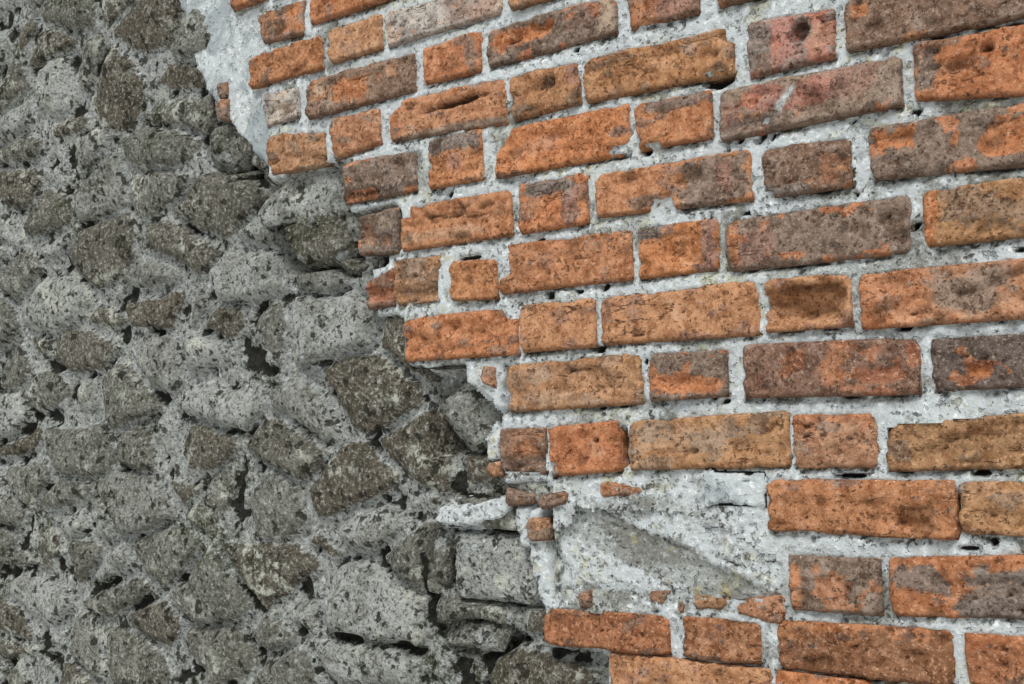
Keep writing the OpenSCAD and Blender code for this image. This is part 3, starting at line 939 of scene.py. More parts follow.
# In mm: the brick of the end that shows in the even courses of a face, where the wall stops, and
# what a header measures at most
EAR = 131
STOP = WALL_END / MM
HEADER_MOST = 140

# The tones that the bricks past the photograph's edges are drawn from
COMMON = ["orange", "bright", "tan", "brown", "orange", "red", "grey", "smooth", "orange", "pink", "tan"]


def plain_beds(course):
    """Bottom and top of the bricks of a course where the wall is as it was built."""
    low = (course - 1) * PITCH
    return low + JOINT / 2, low + PITCH - JOINT / 2


def level(course, x):
    """Bottom and top of the bricks of a course at x; past the view the beds run level."""
    plain_bottom, plain_top = plain_beds(course)
    bottom, top, rise, top_rise = plain_bottom, plain_top, 0.0, 0.0
    if course in BEDS:
        bottom, top, rise, top_rise = (size * MM for size in BEDS[course])
    plain = soft(abs(x), 0.85, 1.40)
    bottom += (1 - plain) * rise * x + plain * (plain_bottom - bottom)
    top += (1 - plain) * top_rise * x + plain * (plain_top - top)
    return bottom, top


def broken_end(course):
    """Left end of a course of the front face in metres; the repair stands for lost bricks."""
    node = "repair_patch" if course in REPAIRED else f"front_course_{course}"
    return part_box(node)[0][0]


def spans(course, tie, start):
    """The bricks of a course from start in mm to the end, where an ear shows in the even ones."""
    if course % 2:
        return bond_row(tie, start, STOP)
    return [*bond_row(tie, start, STOP - EAR - JOINT / MM), (STOP - EAR, STOP)]


def front_row(course):
    """All bricks of one course of the front face: those told apart, then the bond to the end."""
    draw = Random(course * 17)
    worn = WORN.get(course, [])
    row = [(*item, SQUARE)[:5] for item in worn]
    start = worn[-1][1] + 15 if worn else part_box(f"front_course_{course}")[0][0] / MM
    for left, right in spans(course, course, start):
        row.append((left, right, draw.choice(COMMON), [], SQUARE))
    return row


def front_bricks(course):
    bricks = []
    for count, (left, right, tone, marks, askew) in enumerate(front_row(course)):
        bottom, top = level(course, (left + right) / 2 * MM)
        low_left, high_left = level(course, left * MM)
        low_right, high_right = level(course, right * MM)
        draw = Random(course * 100 + count)
        loose = 2.0 if askew == SQUARE else 0.5
        bottom += draw.uniform(-loose, loose) * MM
        top += draw.uniform(-loose, loose) * MM
        rest = (low_left - bottom, low_right - bottom, high_left - top, high_right - top)
        corners = tuple(a + b * MM for a, b in zip(rest, askew))
        header = right - left < HEADER_MOST and STOP - right > HEADER_MOST
        depth = BRICK_L - 5 * MM if header else BRICK_W
        arris = ARRIS if right > STOP - 1 else 0.0
        bricks.append(Brick(left * MM, right * MM - arris, bottom, top, tone, marks,
                            course * 100 + count, depth, corners))
    return bricks


# Cells of a brick's face in the photograph and past it, and how deep the rings of its sides lie
FINE = 4.0 * MM
PLAIN = 9.0 * MM
FACE_RINGS = [12 * MM]
BROKEN_RINGS = [12 * MM, 24 * MM, 38 * MM, 55 * MM]


def near_view(brick):
    """Whether the photograph shows a brick."""
    return brick.top > 0.78 and brick.bottom < 1.98 and brick.left < 0.86


def make_courses(material):
    """The weathered brick face, one piece for each course."""
    rows = []
    for course in COURSES:
        bm, *layers = new_mesh(*BRICK_PAINT)
        bricks = front_bricks(course)
        for count, brick in enumerate(bricks):
            cell = FINE if near_view(brick) else PLAIN
            rings = BROKEN_RINGS if count == 0 else FACE_RINGS
            add_brick(bm, layers, FRONT, brick, cell, rings)
        finish_piece(bm, f"brick_course_{course:02d}", material,
                     [f"front_course_{course}"])
        rows.append(bricks)
    return rows


# Mortar: a net of rough lime between the bricks, a few millimetres behind their faces

def separators():
    """Heights at the middle of the wall where one course gives way to the next."""
    return [(level(course, 0)[1] + level(course + 1, 0)[0]) / 2 for course in COURSES[:-1]]


class Face:
    """One face of the wall with its bricks, where it breaks off and how its mortar lies."""

    def __init__(self, rows, ends, seed, holes=()):
        self.rows = rows
        self.ends = ends
        self.beds = separators()
        self.seed = seed
        self.holes = [mark_shape(HOLE, *hole) for hole in holes]
        self.patches = []

    def course_at(self, z):
        """Index of the course that a height belongs to."""
        return sum(1 for bed in self.beds if z > bed)

    def end_at(self, z):
        """Where the course at a height breaks off."""
        return self.ends[min(self.course_at(z), len(self.ends) - 1)]

    def beyond(self, x, z):
        """How far outside the brickwork a point lies, past a broken end or under one."""
        here = self.course_at(z)
        nearest = 1.0
        for course in range(max(0, here - 1), min(len(self.ends), here + 2)):
            low = self.beds[course - 1] if course > 0 else -1.0
            high = self.beds[course] if course < len(self.beds) else WALL_TOP + 1.0
            across = max(0.0, self.ends[course] - x)
            along = max(0.0, low - z, z - high)
            nearest = min(nearest, math.hypot(across, along))
        return nearest

    def below(self, x, z):
        """How far a point lies below the underside of the brick above it, and beside a brick's end."""
        here = self.course_at(z)
        under, beside = 1.0, 1.0
        for row in self.rows[here:here + 2]:
            for brick in row:
                if brick.left - 20 * MM < x < brick.right + 20 * MM:
                    gap = brick.low(x) - z
                    if brick.left < x < brick.right:
                        if gap > -JOINT:
                            under = min(under, abs(gap))
                    elif gap < 0:
                        beside = min(beside, max(brick.left - x, x - brick.right))
        return under, beside

    def in_patch(self, x, z):
        """How far inside a patch a point lies, with a ragged rim."""
        ragged = turbulence(x, z, self.seed + 21, 30 * MM, 4)
        return max([rim_distance(x, z, outline) + (fray * ragged - lap) * MM
                    for outline, lap, fray in self.patches] + [-1.0])

    def outside(self, x, z):
        """Whether a point lies too far from the bricks for their mortar to reach."""
        return self.beyond(x, z) > 55 * MM

    def within(self, x, z):
        """How far inside the outline of a brick a point lies, none in its chips."""
        here = min(self.course_at(z), len(self.rows) - 1)
        for row in self.rows[max(0, here - 1):here + 2]:
            for brick in row:
                if brick.left < x < brick.right and brick.low(x) < z < brick.high(x):
                    chip = any(m[0] == CHIP and mark_weight(x, z, m, -0.2) > 0 for m in brick.marks)
                    return 0.0 if chip else brick.edge(x, z)
        return 0.0

    def mortar(self, x, z):
        """Height, grime share with painted shade in it, and painted-shade share of the mortar at a
        point.
        """
        seed = self.seed
        broad = turbulence(x, z, seed, 52 * MM, 3)
        middling = turbulence(x, z, seed + 3, 14 * MM, 3)
        fine = noise.noise(Vector((x / (4.5 * MM), z / (4.5 * MM), seed)))
        height = (-3.2 + 1.5 * broad + 1.7 * middling + 0.8 * fine) * MM
        height += 3.6 * MM * soft(turbulence(x, z, seed + 5, 95 * MM, 2), 0.10, 0.5)
        height -= max(0.0, turbulence(x, z, seed + 9, 9 * MM, 2) - 0.40) * 18 * MM
        away = max(self.beyond(x - 9 * MM, z), self.beyond(x, z - 7 * MM))
        away += (5 * broad + 4 * middling) * MM if away > 0 else 0.0
        height -= 46 * MM * soft(away, 2 * MM, 30 * MM)
        outside = soft(away, 3 * MM, 18 * MM)
        # Painted shade past the broken ends, where the mortar lies deep.
        painted_shade = 0.26 * outside
        # Painted shade in the holes.
        for mark in self.holes:
            if abs(x - mark[1]) > 2 * mark[3] or abs(z - mark[2]) > 2 * mark[4]:
                continue
            share = mark_weight(x, z, mark, 0.25 * middling + 0.15 * fine)
            height -= share * mark[5] * MM
            painted_shade = max(painted_shade, share)
        under, beside = self.below(x, z)
        gone = 0.55 + 0.45 * broad + 0.35 * middling
        shade = gone * (1 - soft(under, 1 * MM, 8 * MM)) + 0.4 * gone * (1 - soft(beside, 0.0, 5 * MM))
        height -= max(0.0, shade) * 8 * MM
        # Painted shade in the recess under each brick and beside its ends.
        painted_shade = max(painted_shade, 0.62 * shade)
        grime_and_shade = soft(turbulence(x, z, seed + 13, 0.10, 4), -0.1, 0.6)
        near_patch = 0.7 * soft(self.in_patch(x, z), -36 * MM, -6 * MM) * soft(x, 0.40, 0.34)
        # Under each brick and past the broken ends the mortar is greyed as painted shade; elsewhere this
        # mask is grime.
        grime_and_shade = max(grime_and_shade, 1.2 * gone * (1 - soft(under, 3 * MM, 17 * MM)), 1.4 * outside, near_patch)
        height -= 8 * MM * soft(self.within(x, z), 2 * MM, 7 * MM)
        return height, min(1.4, grime_and_shade), painted_shade

    def covered(self, x, z):
        """Whether a point lies well inside a sound part of a brick, or inside a patch."""
        if self.in_patch(x, z) > 0:
            return True
        for brick in self.rows[min(self.course_at(z), len(self.rows) - 1)]:
            if not brick.left < x < brick.right:
                continue
            deep = any(m[0] not in TINTS and m[0] not in (SKIN, BARE, CHIP)
                       and mark_weight(x, z, m, -0.1) > 0 for m in brick.marks)
            rim = (2 if deep else 12) * MM
            if any(m[0] == CHIP and m[3] > 9 * MM and mark_weight(x, z, m, -0.4) > 0
                   for m in brick.marks):
                return False
            return (brick.left + rim < x < brick.right - rim
                    and brick.low(x) + rim < z < brick.high(x) - rim)
        return False


def thicken_net(bm, depth):
    """Gives a net a flat back at a depth, of as few faces as will do."""
    back = points_of(bmesh.ops.extrude_face_region(bm, geom=bm.faces[:])["geom"])
    for v in back:
        v.co.z = -depth
    flat = unique(f for v in back for f in v.link_faces if all(w in back for w in f.verts))
    inner = [v for v in back if all(f in flat for f in v.link_faces)]
    edges = unique(e for f in flat for e in f.edges)
    seams = [e for e in edges if all(f in flat for f in e.link_faces)]
    bmesh.ops.dissolve_limit(bm, angle_limit=0.01, use_dissolve_boundaries=False, verts=inner,
                             edges=seams)


def make_mortar(name, face, place, window, cell, material, depth=BRICK_W, sharp=True):
    """The mortar of one part of a face, as a net that leaves the bricks free."""
    bm, masks = new_mesh("masks")
    add_grid(bm, *window, cell)
    spare = []
    for f in bm.faces:
        centre = f.calc_center_median()
        if face.outside(centre.x, centre.y) or face.covered(centre.x, centre.y):
            spare.append(f)
    bmesh.ops.delete(bm, geom=spare, context="FACES")
    for v in bm.verts:
        height, grime_and_shade, painted_shade = face.mortar(v.co.x, v.co.y)
        v.co.z = height
        # The masks: grime with painted shade in it, and painted shade.
        v[masks] = (grime_and_shade, painted_shade, 0.0, 1.0)
    if sharp:
        for e in bm.edges:
            e.smooth = not e.is_boundary
    thicken_net(bm, depth)
    bmesh.ops.transform(bm, matrix=place, verts=bm.verts)
    finish_piece(bm, name, material)


# The part of the front that the photograph shows, how far the mortar stays behind the wall's ends,
# how far it runs out past the broken ends, and how far one part laps over the next
VIEW_PART = (-0.78, 0.90, 0.76, 2.00)
MORTAR_BACK = 8 * MM
MORTAR_REACH = 0.09
LAP = 12 * MM


def make_front_mortar(face, material):
    """The mortar of the front: a fine net where the photograph shows it, and coarser ones round it."""
    _, right, bottom, top = VIEW_PART
    start, stop = min(face.ends) - MORTAR_REACH, WALL_END - MORTAR_BACK
    for name, window, cell in [
            ("mortar_middle", VIEW_PART, 4.8),
            ("mortar_low", (start, stop, 0, bottom + LAP), 12),
            ("mortar_right", (right - LAP, stop, bottom - LAP, top + LAP), 12),
            ("mortar_high", (start, stop, top - LAP, WALL_TOP), 12)]:
        make_mortar(name, face, FRONT, window, cell * MM, material)


# Rubble: field stones in lime, as one relief that wraps round the stub, in lifts

def stone_relief(s, z):
    """Height out of the brick face, joint share, tone, moss and painted shade in the clefts of the
    rubble at a point.
    """
    warp_s = 0.016 * noise.noise(Vector((s * 9, z * 9, 3.1))) + 0.007 * turbulence(s, z, 41, 0.05, 3)
    warp_z = 0.014 * noise.noise(Vector((s * 9, z * 9, 8.7))) + 0.007 * turbulence(s, z, 43, 0.05, 3)
    spot = Vector(((s + warp_s) / 0.195, (z + warp_z) / 0.112, 1.7))
    distances, points = noise.voronoi(spot)
    edge = distances[1] - distances[0]
    cell = points[0]
    tone = min(1.0, max(0.0, noise.noise(cell * 3.7) * 1.4 + 0.52))
    broad = turbulence(s, z, 21, 0.10, 4)
    middling = turbulence(s, z, 23, 0.030, 4)
    fine = turbulence(s, z, 27, 0.010, 3)
    joint = 1 - soft(edge + 0.03 * middling, 0.08, 0.15)
    rise = min(1.0, max(0.0, (edge - 0.05) / 0.38))
    face = 1 - (1 - rise) ** 2.6
    lean = spot - cell
    lump = turbulence(s, z, 33, 0.022, 3)
    height = (-35 + 23 * face + 7 * (tone - 0.5) * face) * MM
    height += (lean.x * noise.noise(cell * 5.1) + lean.y * noise.noise(cell * 6.3)) * 26 * MM * face
    height += (1 - face) * (4.5 * broad + 3.5 * lump) * MM
    height += (2.6 * broad + 3.2 * middling + 2.4 * fine) * MM
    height += (steps(0.5 + 0.5 * broad, 4) - 0.5) * 8 * MM * face
    # Painted shade: the deep clefts in the joints are painted black.
    cleft_shade = joint * soft(turbulence(s, z, 51, 0.06, 3), 0.10, 0.45)
    height -= 10 * MM * cleft_shade
    height = min(height, -5 * MM)
    moss = soft(turbulence(s, z, 31, 0.16, 4) + 0.3 * joint, 0.30, 0.75)
    return height, joint, tone, moss, cleft_shade


# Holes and crevices in the rubble at the break, painted black as shade: (x, z, half width, half height,
# depth, slope) in mm
RUBBLE_HOLES = [mark_shape(HOLE, *hole) for hole in [
    (-298, 1405, 40, 22, 44), (-24, 780, 16, 10, 30), (-215, 870, 10, 60, 18),
    (-110, 1008, 70, 7, 14), (-640, 1610, 60, 9, 20), (-40, 1215, 24, 8, 18), (-60, 1165, 14, 22, 16),
]]

# The large stones of the break with their tones: dark, then grey up to 1, and limewashed past it
BOULDERS = [("boulder_top", 0.35), ("boulder_upper", 0.2), ("boulder_middle", 0.7),
            ("boulder_lower", 1.7), ("boulder_foot", 0.5)]
BOULDER_BOXES = [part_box(node) for node, _ in BOULDERS]

# The stub: how far it lies behind the brick face, its rounded corners, how far its end is set in,
# how far it runs on behind the bricks, and how far it sinks there
RUBBLE_SET = RUBBLE_Y - FACE_Y
STUB_ROUND = 55 * MM
END_SET = 26 * MM
STUB_REACH = 0.10
BEHIND = 45 * MM

# Cells of the rubble in the photograph, above and below it, and round the end and the back
RUBBLE_FINE = 8.5 * MM
RUBBLE_PLAIN = 12 * MM
RUBBLE_WIDE = 15 * MM


def stub_path():
    """Places along the outline of the stub, from the back round its end to the front."""
    corner_x = WALL_START + END_SET + STUB_ROUND
    corner_y = RUBBLE_Y + STUB_ROUND
    quarter = STUB_ROUND * math.pi / 2
    end = -2 * corner_y

    def place(s):
        """s is 0 where the front begins; it grows along the front and falls round the end."""
        if s >= 0:
            return Vector((corner_x + s, RUBBLE_Y)), Vector((0, -1))
        if s > -quarter:
            turn = s / STUB_ROUND
            way = Vector((math.sin(turn), -math.cos(turn)))
            return Vector((corner_x, corner_y)) + way * STUB_ROUND, way
        if s > -quarter - end:
            return Vector((corner_x - STUB_ROUND, corner_y - (s + quarter))), Vector((-1, 0))
        if s > -2 * quarter - end:
            turn = (s + quarter + end) / STUB_ROUND
            way = Vector((-math.cos(turn), -math.sin(turn)))
            return Vector((corner_x, -corner_y)) + way * STUB_ROUND, way
        return Vector((corner_x - (s + 2 * quarter + end), -RUBBLE_Y)), Vector((0, 1))

    return place, corner_x, 2 * quarter + end


def stub_columns(front_reach, back_reach, fine):
    """Places of the columns of points: close together on the front, wider elsewhere."""
    place, corner_x, around = stub_path()
    front = [k * fine for k in range(int((front_reach - corner_x) / fine) + 1)]
    turns = round(around / RUBBLE_WIDE)
    turn = [-k * around / turns for k in range(1, turns + 1)]
    backs = int((back_reach - corner_x) / RUBBLE_WIDE)
    back = [-around - k * RUBBLE_WIDE for k in range(1, backs + 1)]
    return sorted(front + turn + back), place, around


def sink_rubble(height, s, x, z):
    """Height and painted-shade share where the front of the stub gives way to holes and to its stones.
    """
    deepest = 0.0
    for mark in RUBBLE_HOLES:
        if abs(x - mark[1]) < 1.3 * mark[3]:
            share = mark_weight(x, z, mark, 0.2 * noise.noise(Vector((s * 60, z * 60, 0))))
            height -= share * mark[5] * MM
            deepest = max(deepest, share)
    for stone_x, stone_z, half_w, half_h, _, _ in BREAK_STONES:
        reach = math.hypot((x / MM - stone_x) / half_w, (z / MM - stone_z) / half_h)
        if reach < 1.2:
            height -= 34 * MM * (1 - soft(reach, 0.85, 1.15))
    for low, high in BOULDER_BOXES:
        inside = min(x - low.x, high.x - x, z - low.z, high.z - z)
        if inside > 0:
            height -= 60 * MM * soft(inside, 0.0, 9 * MM)
    return height, deepest


def make_rubble_lift(lift, front, back, material):
    """One lift of the stub and core; behind the bricks its relief sinks out of sight."""
    node = f"rubble_lift_{lift}"
    bottom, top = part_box(node)[0][2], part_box(node)[1][2]
    courses = range((lift - 1) * LIFT, lift * LIFT)
    front_reach = max(front.ends[c] for c in courses) + STUB_REACH
    back_reach = max(-back.ends[c] for c in courses) + STUB_REACH
    cell = RUBBLE_FINE if 1 < lift < LIFTS else RUBBLE_PLAIN
    columns, place, around = stub_columns(front_reach, back_reach, cell)
    bm, masks = new_mesh("masks")
    cleft_shade_layer = bm.verts.layers.float.new("cleft_shade")
    made = bmesh.ops.create_grid(bm, x_segments=len(columns) - 1,
                                 y_segments=round((top - bottom) / cell), size=1.0)["verts"]
    for v in made:
        s = columns[round((v.co.x + 1) / 2 * (len(columns) - 1))]
        z = bottom + (v.co.y + 1) / 2 * (top - bottom)
        height, joint, tone, moss, cleft_shade = stone_relief(s, z)
        spot, way = place(s)
        if s >= 0:
            height, hole = sink_rubble(height, s, spot.x, z)
            height -= BEHIND * soft(spot.x - front.end_at(z), 6 * MM, 30 * MM)
            # Painted shade in the holes of the break.
            cleft_shade = max(cleft_shade, hole)
        elif s < -around:
            height -= BEHIND * soft(spot.x + back.end_at(z), 6 * MM, 30 * MM)
        spot = spot + way * (height + RUBBLE_SET)
        v[masks] = (joint, tone, moss, 1.0)
        v[cleft_shade_layer] = cleft_shade
        v.co = Vector((spot.x, spot.y, z))
    close_stub(bm, made, len(columns))
    finish_piece(bm, f"rubble_{lift}", material, [node])


def close_stub(bm, verts, count):
    """Closes the relief of a lift with a bed below, a bed above and a face behind."""
    lowest, highest = verts[:count], verts[-count:]
    for e in bm.edges:
        e.smooth = not e.is_boundary
    bm.faces.new(lowest[::-1])
    bm.faces.new(highest)
    first, last = verts[::count], verts[count - 1::count]
    bm.faces.new([*first, *last[::-1]])


def make_boulder(node, seed, material, tone):
    """A large field stone in the place of its solid, blunt, faceted and pitted."""
    low, high = (Vector(corner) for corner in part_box(node))
    bm, masks = new_mesh("masks")
    made = bmesh.ops.create_icosphere(bm, subdivisions=5, radius=1.0)["verts"]
    squared = tone > 1
    shape_stone(made, (low + high) / 2, (high - low) / 2, seed, masks, tone,
                (0, 1, 1) if squared else (7, 0.80, 0.98), 7.0 if squared else 4.6)
    finish_piece(bm, node.replace("boulder", "field_stone"), material, [node])


def shape_stone(verts, middle, half, seed, masks, tone, flats, power=4.6):
    """Turns a ball into a blunt stone with flats, hollows and a rough surface.

    The flats are given by their number and by how near and how far from the middle they lie.
    """
    draw = Random(seed)
    planes = []
    for _ in range(flats[0]):
        way = Vector((draw.uniform(-1, 1), draw.uniform(-1, 0.2), draw.uniform(-1, 1))).normalized()
        planes.append((way, draw.uniform(flats[1], flats[2])))
    lime = max(0.0, tone - 1)
    for v in verts:
        way = v.co.normalized()
        reach = sum(abs(c) ** power for c in way) ** (-1 / power)
        spot = way * reach
        for normal, limit in planes:
            beyond = spot.dot(normal) - limit
            if beyond > 0:
                spot -= normal * beyond * 0.9
        place = Vector((spot.x * half.x, spot.y * half.y, spot.z * half.z)) + middle
        rough = noise.fractal(place / (60 * MM) + Vector((0, 0, seed)), 0.7, 2.1, 6)
        lumps = noise.fractal(place / (19 * MM) + Vector((seed, 0, 0)), 0.6, 2.1, 5)
        shrink = 0.94 + 0.035 * rough
        away = (place - middle).normalized()
        v.co = middle + (place - middle) * shrink + away * (3.8 * lumps - 3.0) * MM
        moss = soft(noise.fractal(place / 0.11 + Vector((seed, 0, 0)), 0.9, 2.1, 3), 0.2, 0.7)
        v[masks] = (max(soft(rough, 0.0, 0.8), lime * soft(rough, -1.2, -0.2)), min(tone, 1.0),
                    0.8 * moss * (1 - lime), 1.0)


# Small stones and lumps of lime at the break: (x, z, half width, half height, out, tone) in mm
BREAK_STONES = [
    (-478, 1547, 140, 54, -8, 0.95), (-448, 1452, 90, 29, -14, 0.25), (-374, 1410, 42, 20, -24, 0.3),
    (-684, 1674, 74, 54, -16, 0.5), (-700, 1770, 26, 34, -16, 0.3), (-176, 905, 34, 54, -16, 0.35),
    (-116, 776, 84, 30, -14, 0.6), (-600, 1640, 40, 26, -18, 0.35),
]

# Half of what such a stone measures from front to back
BREAK_STONE_DEEP = 30 * MM


def make_break_stones(material):
    """The small stones that the break has laid bare, in one piece."""
    bm, masks = new_mesh("masks")
    for count, (x, z, half_w, half_h, out, tone) in enumerate(BREAK_STONES):
        made = bmesh.ops.create_icosphere(bm, subdivisions=4, radius=1.0)["verts"]
        middle = Vector((x * MM, FACE_Y - out * MM + BREAK_STONE_DEEP, z * MM))
        half = Vector((half_w * MM, BREAK_STONE_DEEP, half_h * MM))
        shape_stone(made, middle, half, count + 50, masks, tone, (9, 0.70, 0.94))
    finish_piece(bm, "break_stones", material)


# Patches: a coat with a ragged outline, a few millimetres proud of what it lies on

def rim_distance(x, z, outline):
    """How far inside a convex outline a point lies; the corners run anticlockwise."""
    nearest = 1.0
    for (ax, az), (bx, bz) in zip(outline, outline[1:] + outline[:1]):
        length = math.hypot(bx - ax, bz - az)
        nearest = min(nearest, ((bx - ax) * (z - az) - (bz - az) * (x - ax)) / length)
    return nearest


def in_metres(corners):
    return [(x * MM, z * MM) for x, z in corners]


def patch_sheet(bm, outline, cell, margin=14 * MM):
    """A flat grid of cells inside an outline and a narrow margin round it."""
    left, right = min(x for x, z in outline), max(x for x, z in outline)
    bottom, top = min(z for x, z in outline), max(z for x, z in outline)
    verts = add_grid(bm, left - margin, right + margin, bottom - margin, top + margin, cell)
    far = [v for v in verts if rim_distance(v.co.x, v.co.y, outline) < -margin]
    bmesh.ops.delete(bm, geom=far, context="VERTS")
    return bm.verts[:]


def make_patch(name, corners, out, relief, cell, seed, material, nodes=(), rim=5, behind=26, spread=4,
               grime_and_shade=(0.0, 0.5), holes=(), streak=0.0, yellow=(), grey_band=None, crack_shade=0.0):
    """A coat of lime or flat stone inside the given corners in mm.

    It stands out by out mm with a relief of so many mm, and its rim falls behind by so many mm. The
    rim's ragged spread, the streaks, the yellow spots and the grey band are in mm too. Its holes, the
    troughs of its streaks and, where asked, a crack round its rim get painted shade.
    """
    outline = in_metres(corners)
    marks = [mark_shape(HOLE, *hole) for hole in holes]
    spots = [(sx * MM, sz * MM, reach * MM) for sx, sz, reach in yellow]
    bm, masks = new_mesh("masks")
    verts = patch_sheet(bm, outline, cell * MM)
    for v in verts:
        x, z = v.co.x, v.co.y
        broad = turbulence(x, z, seed, 80 * MM, 4)
        middling = turbulence(x, z, seed + 2, 20 * MM, 4)
        fine = turbulence(x, z, seed + 4, 6 * MM, 2)
        height = (out + relief * broad + 0.35 * relief * middling + 0.5 * fine) * MM
        across, along = 0.35 * x + 0.94 * z, 0.94 * x - 0.35 * z
        streaks = noise.fractal(Vector((across / (9 * MM), along / (55 * MM), seed)), 0.8, 2.1, 4)
        height += streak * streaks * MM
        inside = rim_distance(x, z, outline) + spread * (0.9 * broad + middling) * MM
        height -= behind * MM * (1 - soft(inside, -rim * MM, rim * MM))
        painted_shade = 0.0
        # Painted shade in the holes.
        for mark in marks:
            share = mark_weight(x, z, mark, 0.2 * middling)
            height -= share * mark[5] * MM
            painted_shade = max(painted_shade, share * min(1.0, mark[5] / 12))
        height -= max(0.0, turbulence(x, z, seed + 9, 11 * MM, 2) - 0.5) * 14 * MM
        # Painted shade in the troughs of the streaks and along the crack round the rim.
        painted_shade = max(painted_shade, 0.16 * streak * soft(-streaks, 0.15, 0.8))
        painted_shade = max(painted_shade, crack_shade * (1 - soft(abs(inside + 2 * MM), 1.2 * MM, 3.6 * MM)))
        share = soft(broad, -0.4, 0.5)
        if grey_band:
            under = grey_band[1] * MM - z + grey_band[2] * (x - grey_band[0] * MM) + 12 * MM * broad
            band = soft(under, -4 * MM, 6 * MM)
            height -= 6 * MM * band
            share = 0.25 * share + 0.75 * band * (1 - soft(under, 44 * MM, 70 * MM))
        lichen = max([1.1 - math.hypot(x - sx, z - sz) / reach for sx, sz, reach in spots] + [0.0])
        low, high = grime_and_shade
        v.co.z = height
        v[masks] = (low + (high - low) * share, painted_shade, lichen, 1.0)
    close_behind(bm, verts, [behind * MM + 30 * MM])
    bmesh.ops.transform(bm, matrix=FRONT, verts=bm.verts)
    finish_piece(bm, name, material, nodes)


# Corners of the patches in mm, anticlockwise
COAT = [(-770, 1840), (-690, 1740), (-565, 1618), (-530, 1640), (-530, 2190), (-880, 2190)]
WEDGE = [(-26, 1139), (-17, 1232), (-106, 1232), (-90, 1190)]
SHELF = [(-176, 966), (-150, 962), (-96, 962), (-40, 974), (-24, 984), (-32, 1008), (-162, 986)]
LUMP = [(-64, 1066), (-34, 1060), (-32, 1112), (-52, 1114), (-66, 1096)]
FLANGE = [(-4, 930), (20, 930), (16, 996), (-12, 994)]
STRIP = [(40, 840), (64, 838), (52, 920), (38, 998), (12, 990), (14, 913)]
REPAIR = [(60, 862), (434, 866), (444, 940), (300, 1003), (110, 1006), (55, 950)]
BLOCK = [(325, 1006), (414, 1004), (416, 1052), (324, 1054)]

# What each patch is made with: name, corners, out, relief, cell and seed, then what differs
PATCHES = [
    ("lime_coat", COAT, -10, 3, 6, 61, {
        "nodes": ["lime_smear"], "rim": 8, "behind": 30, "spread": 6, "grime_and_shade": (-0.9, -0.3)}),
    ("lime_wedge", WEDGE, -5, 1.5, 4, 67, {"behind": 25, "spread": 6, "grime_and_shade": (0.0, 0.4)}),
    ("lime_strip", STRIP, -7, 2, 4, 79, {"spread": 6, "streak": 0.6, "yellow": [(30, 900, 12)]}),
    ("lime_shelf", SHELF, -6, 2, 4, 83, {"rim": 4, "behind": 30, "grime_and_shade": (0.0, 0.4)}),
    ("lime_lump", LUMP, -3, 2, 4, 87, {
        "behind": 24, "yellow": [(-47, 1098, 12), (-50, 1080, 12)]}),
    ("lime_flange", FLANGE, -6, 2, 4, 89, {}),
    ("repair_coat", REPAIR, -7, 3, 3.6, 71, {
        "nodes": ["repair_patch"], "rim": 7, "behind": 16, "spread": 6, "grime_and_shade": (0.25, 1.4),
        "holes": [(180, 968, 50, 3, 4, -0.3), (214, 998, 7, 5, 14), (360, 925, 24, 4, 6, -0.36),
                  (160, 988, 40, 4, 5, -0.3), (262, 1001, 9, 6, 16), (250, 956, 26, 4, 5, -0.36)],
        "streak": 2.6, "grey_band": (152, 990, -0.367),
        "yellow": [(200, 950, 10), (240, 972, 8), (262, 940, 9), (352, 958, 6), (140, 950, 5),
                   (300, 884, 16), (345, 886, 18), (255, 892, 9)]}),
    ("lime_block", BLOCK, 2, 1.2, 3, 73, {
        "rim": 2.5, "behind": 12, "grime_and_shade": (-0.75, -0.2), "holes": [(388, 1040, 8, 2, 4)],
        "crack_shade": 0.95}),
]


def make_patches(lime):
    """Lime over the rubble and between the bricks at the break, and the repair."""
    for name, corners, out, relief, cell, seed, more in PATCHES:
        make_patch(name, corners, out, relief, cell, seed, lime, **more)


# Where the seeds of the slivers, the back, the end and the two sides of the coping start
SLIVER_SEED = 5000
BACK_SEED = 7000
END_SEED = 9000
COPING_SEED = {"front": 300, "back": 400}


def make_slivers(material):
    """The slivers of brick left in the repair, small, dull and worn."""
    bm, *layers = new_mesh(*BRICK_PAINT)
    for count, (left, right, bottom, top, tone, *askew) in enumerate(SLIVERS):
        dull = (GREY, (left + right) / 2, (bottom + top) / 2, 200, 200, 0.3)
        brick = Brick(left * MM, right * MM, bottom * MM, top * MM, tone, [dull], SLIVER_SEED + count,
                      60 * MM, [corner * MM for corner in askew])
        brick.worn = 6 * MM
        brick.proud = 3 * MM
        brick.pitted = 0.35
        brick.cavities = []
        add_brick(bm, layers, FRONT, brick, 3 * MM, [10 * MM])
    finish_piece(bm, "brick_slivers", material)


# The back, the end and the coping

def back_rows():
    """The bricks of the back as seen from behind, from the end of the wall to their break."""
    rows = []
    for course in COURSES:
        draw = Random(BACK_SEED + course)
        bottom, top = plain_beds(course)
        row = []
        for count, (left, right) in enumerate(spans(course, course + 1, back_end(course) / MM)):
            arris = ARRIS if right > STOP - 1 else 0.0
            low = bottom + draw.uniform(-2, 2) * MM
            high = top + draw.uniform(-2, 2) * MM
            row.append(Brick(-right * MM + arris, -left * MM, low, high, draw.choice(COMMON), [],
                             BACK_SEED + course * 40 + count))
        rows.append(row)
    return rows


def back_end(course):
    """The back breaks off one header further on than the front, in metres."""
    return broken_end(course) - BRICK_W


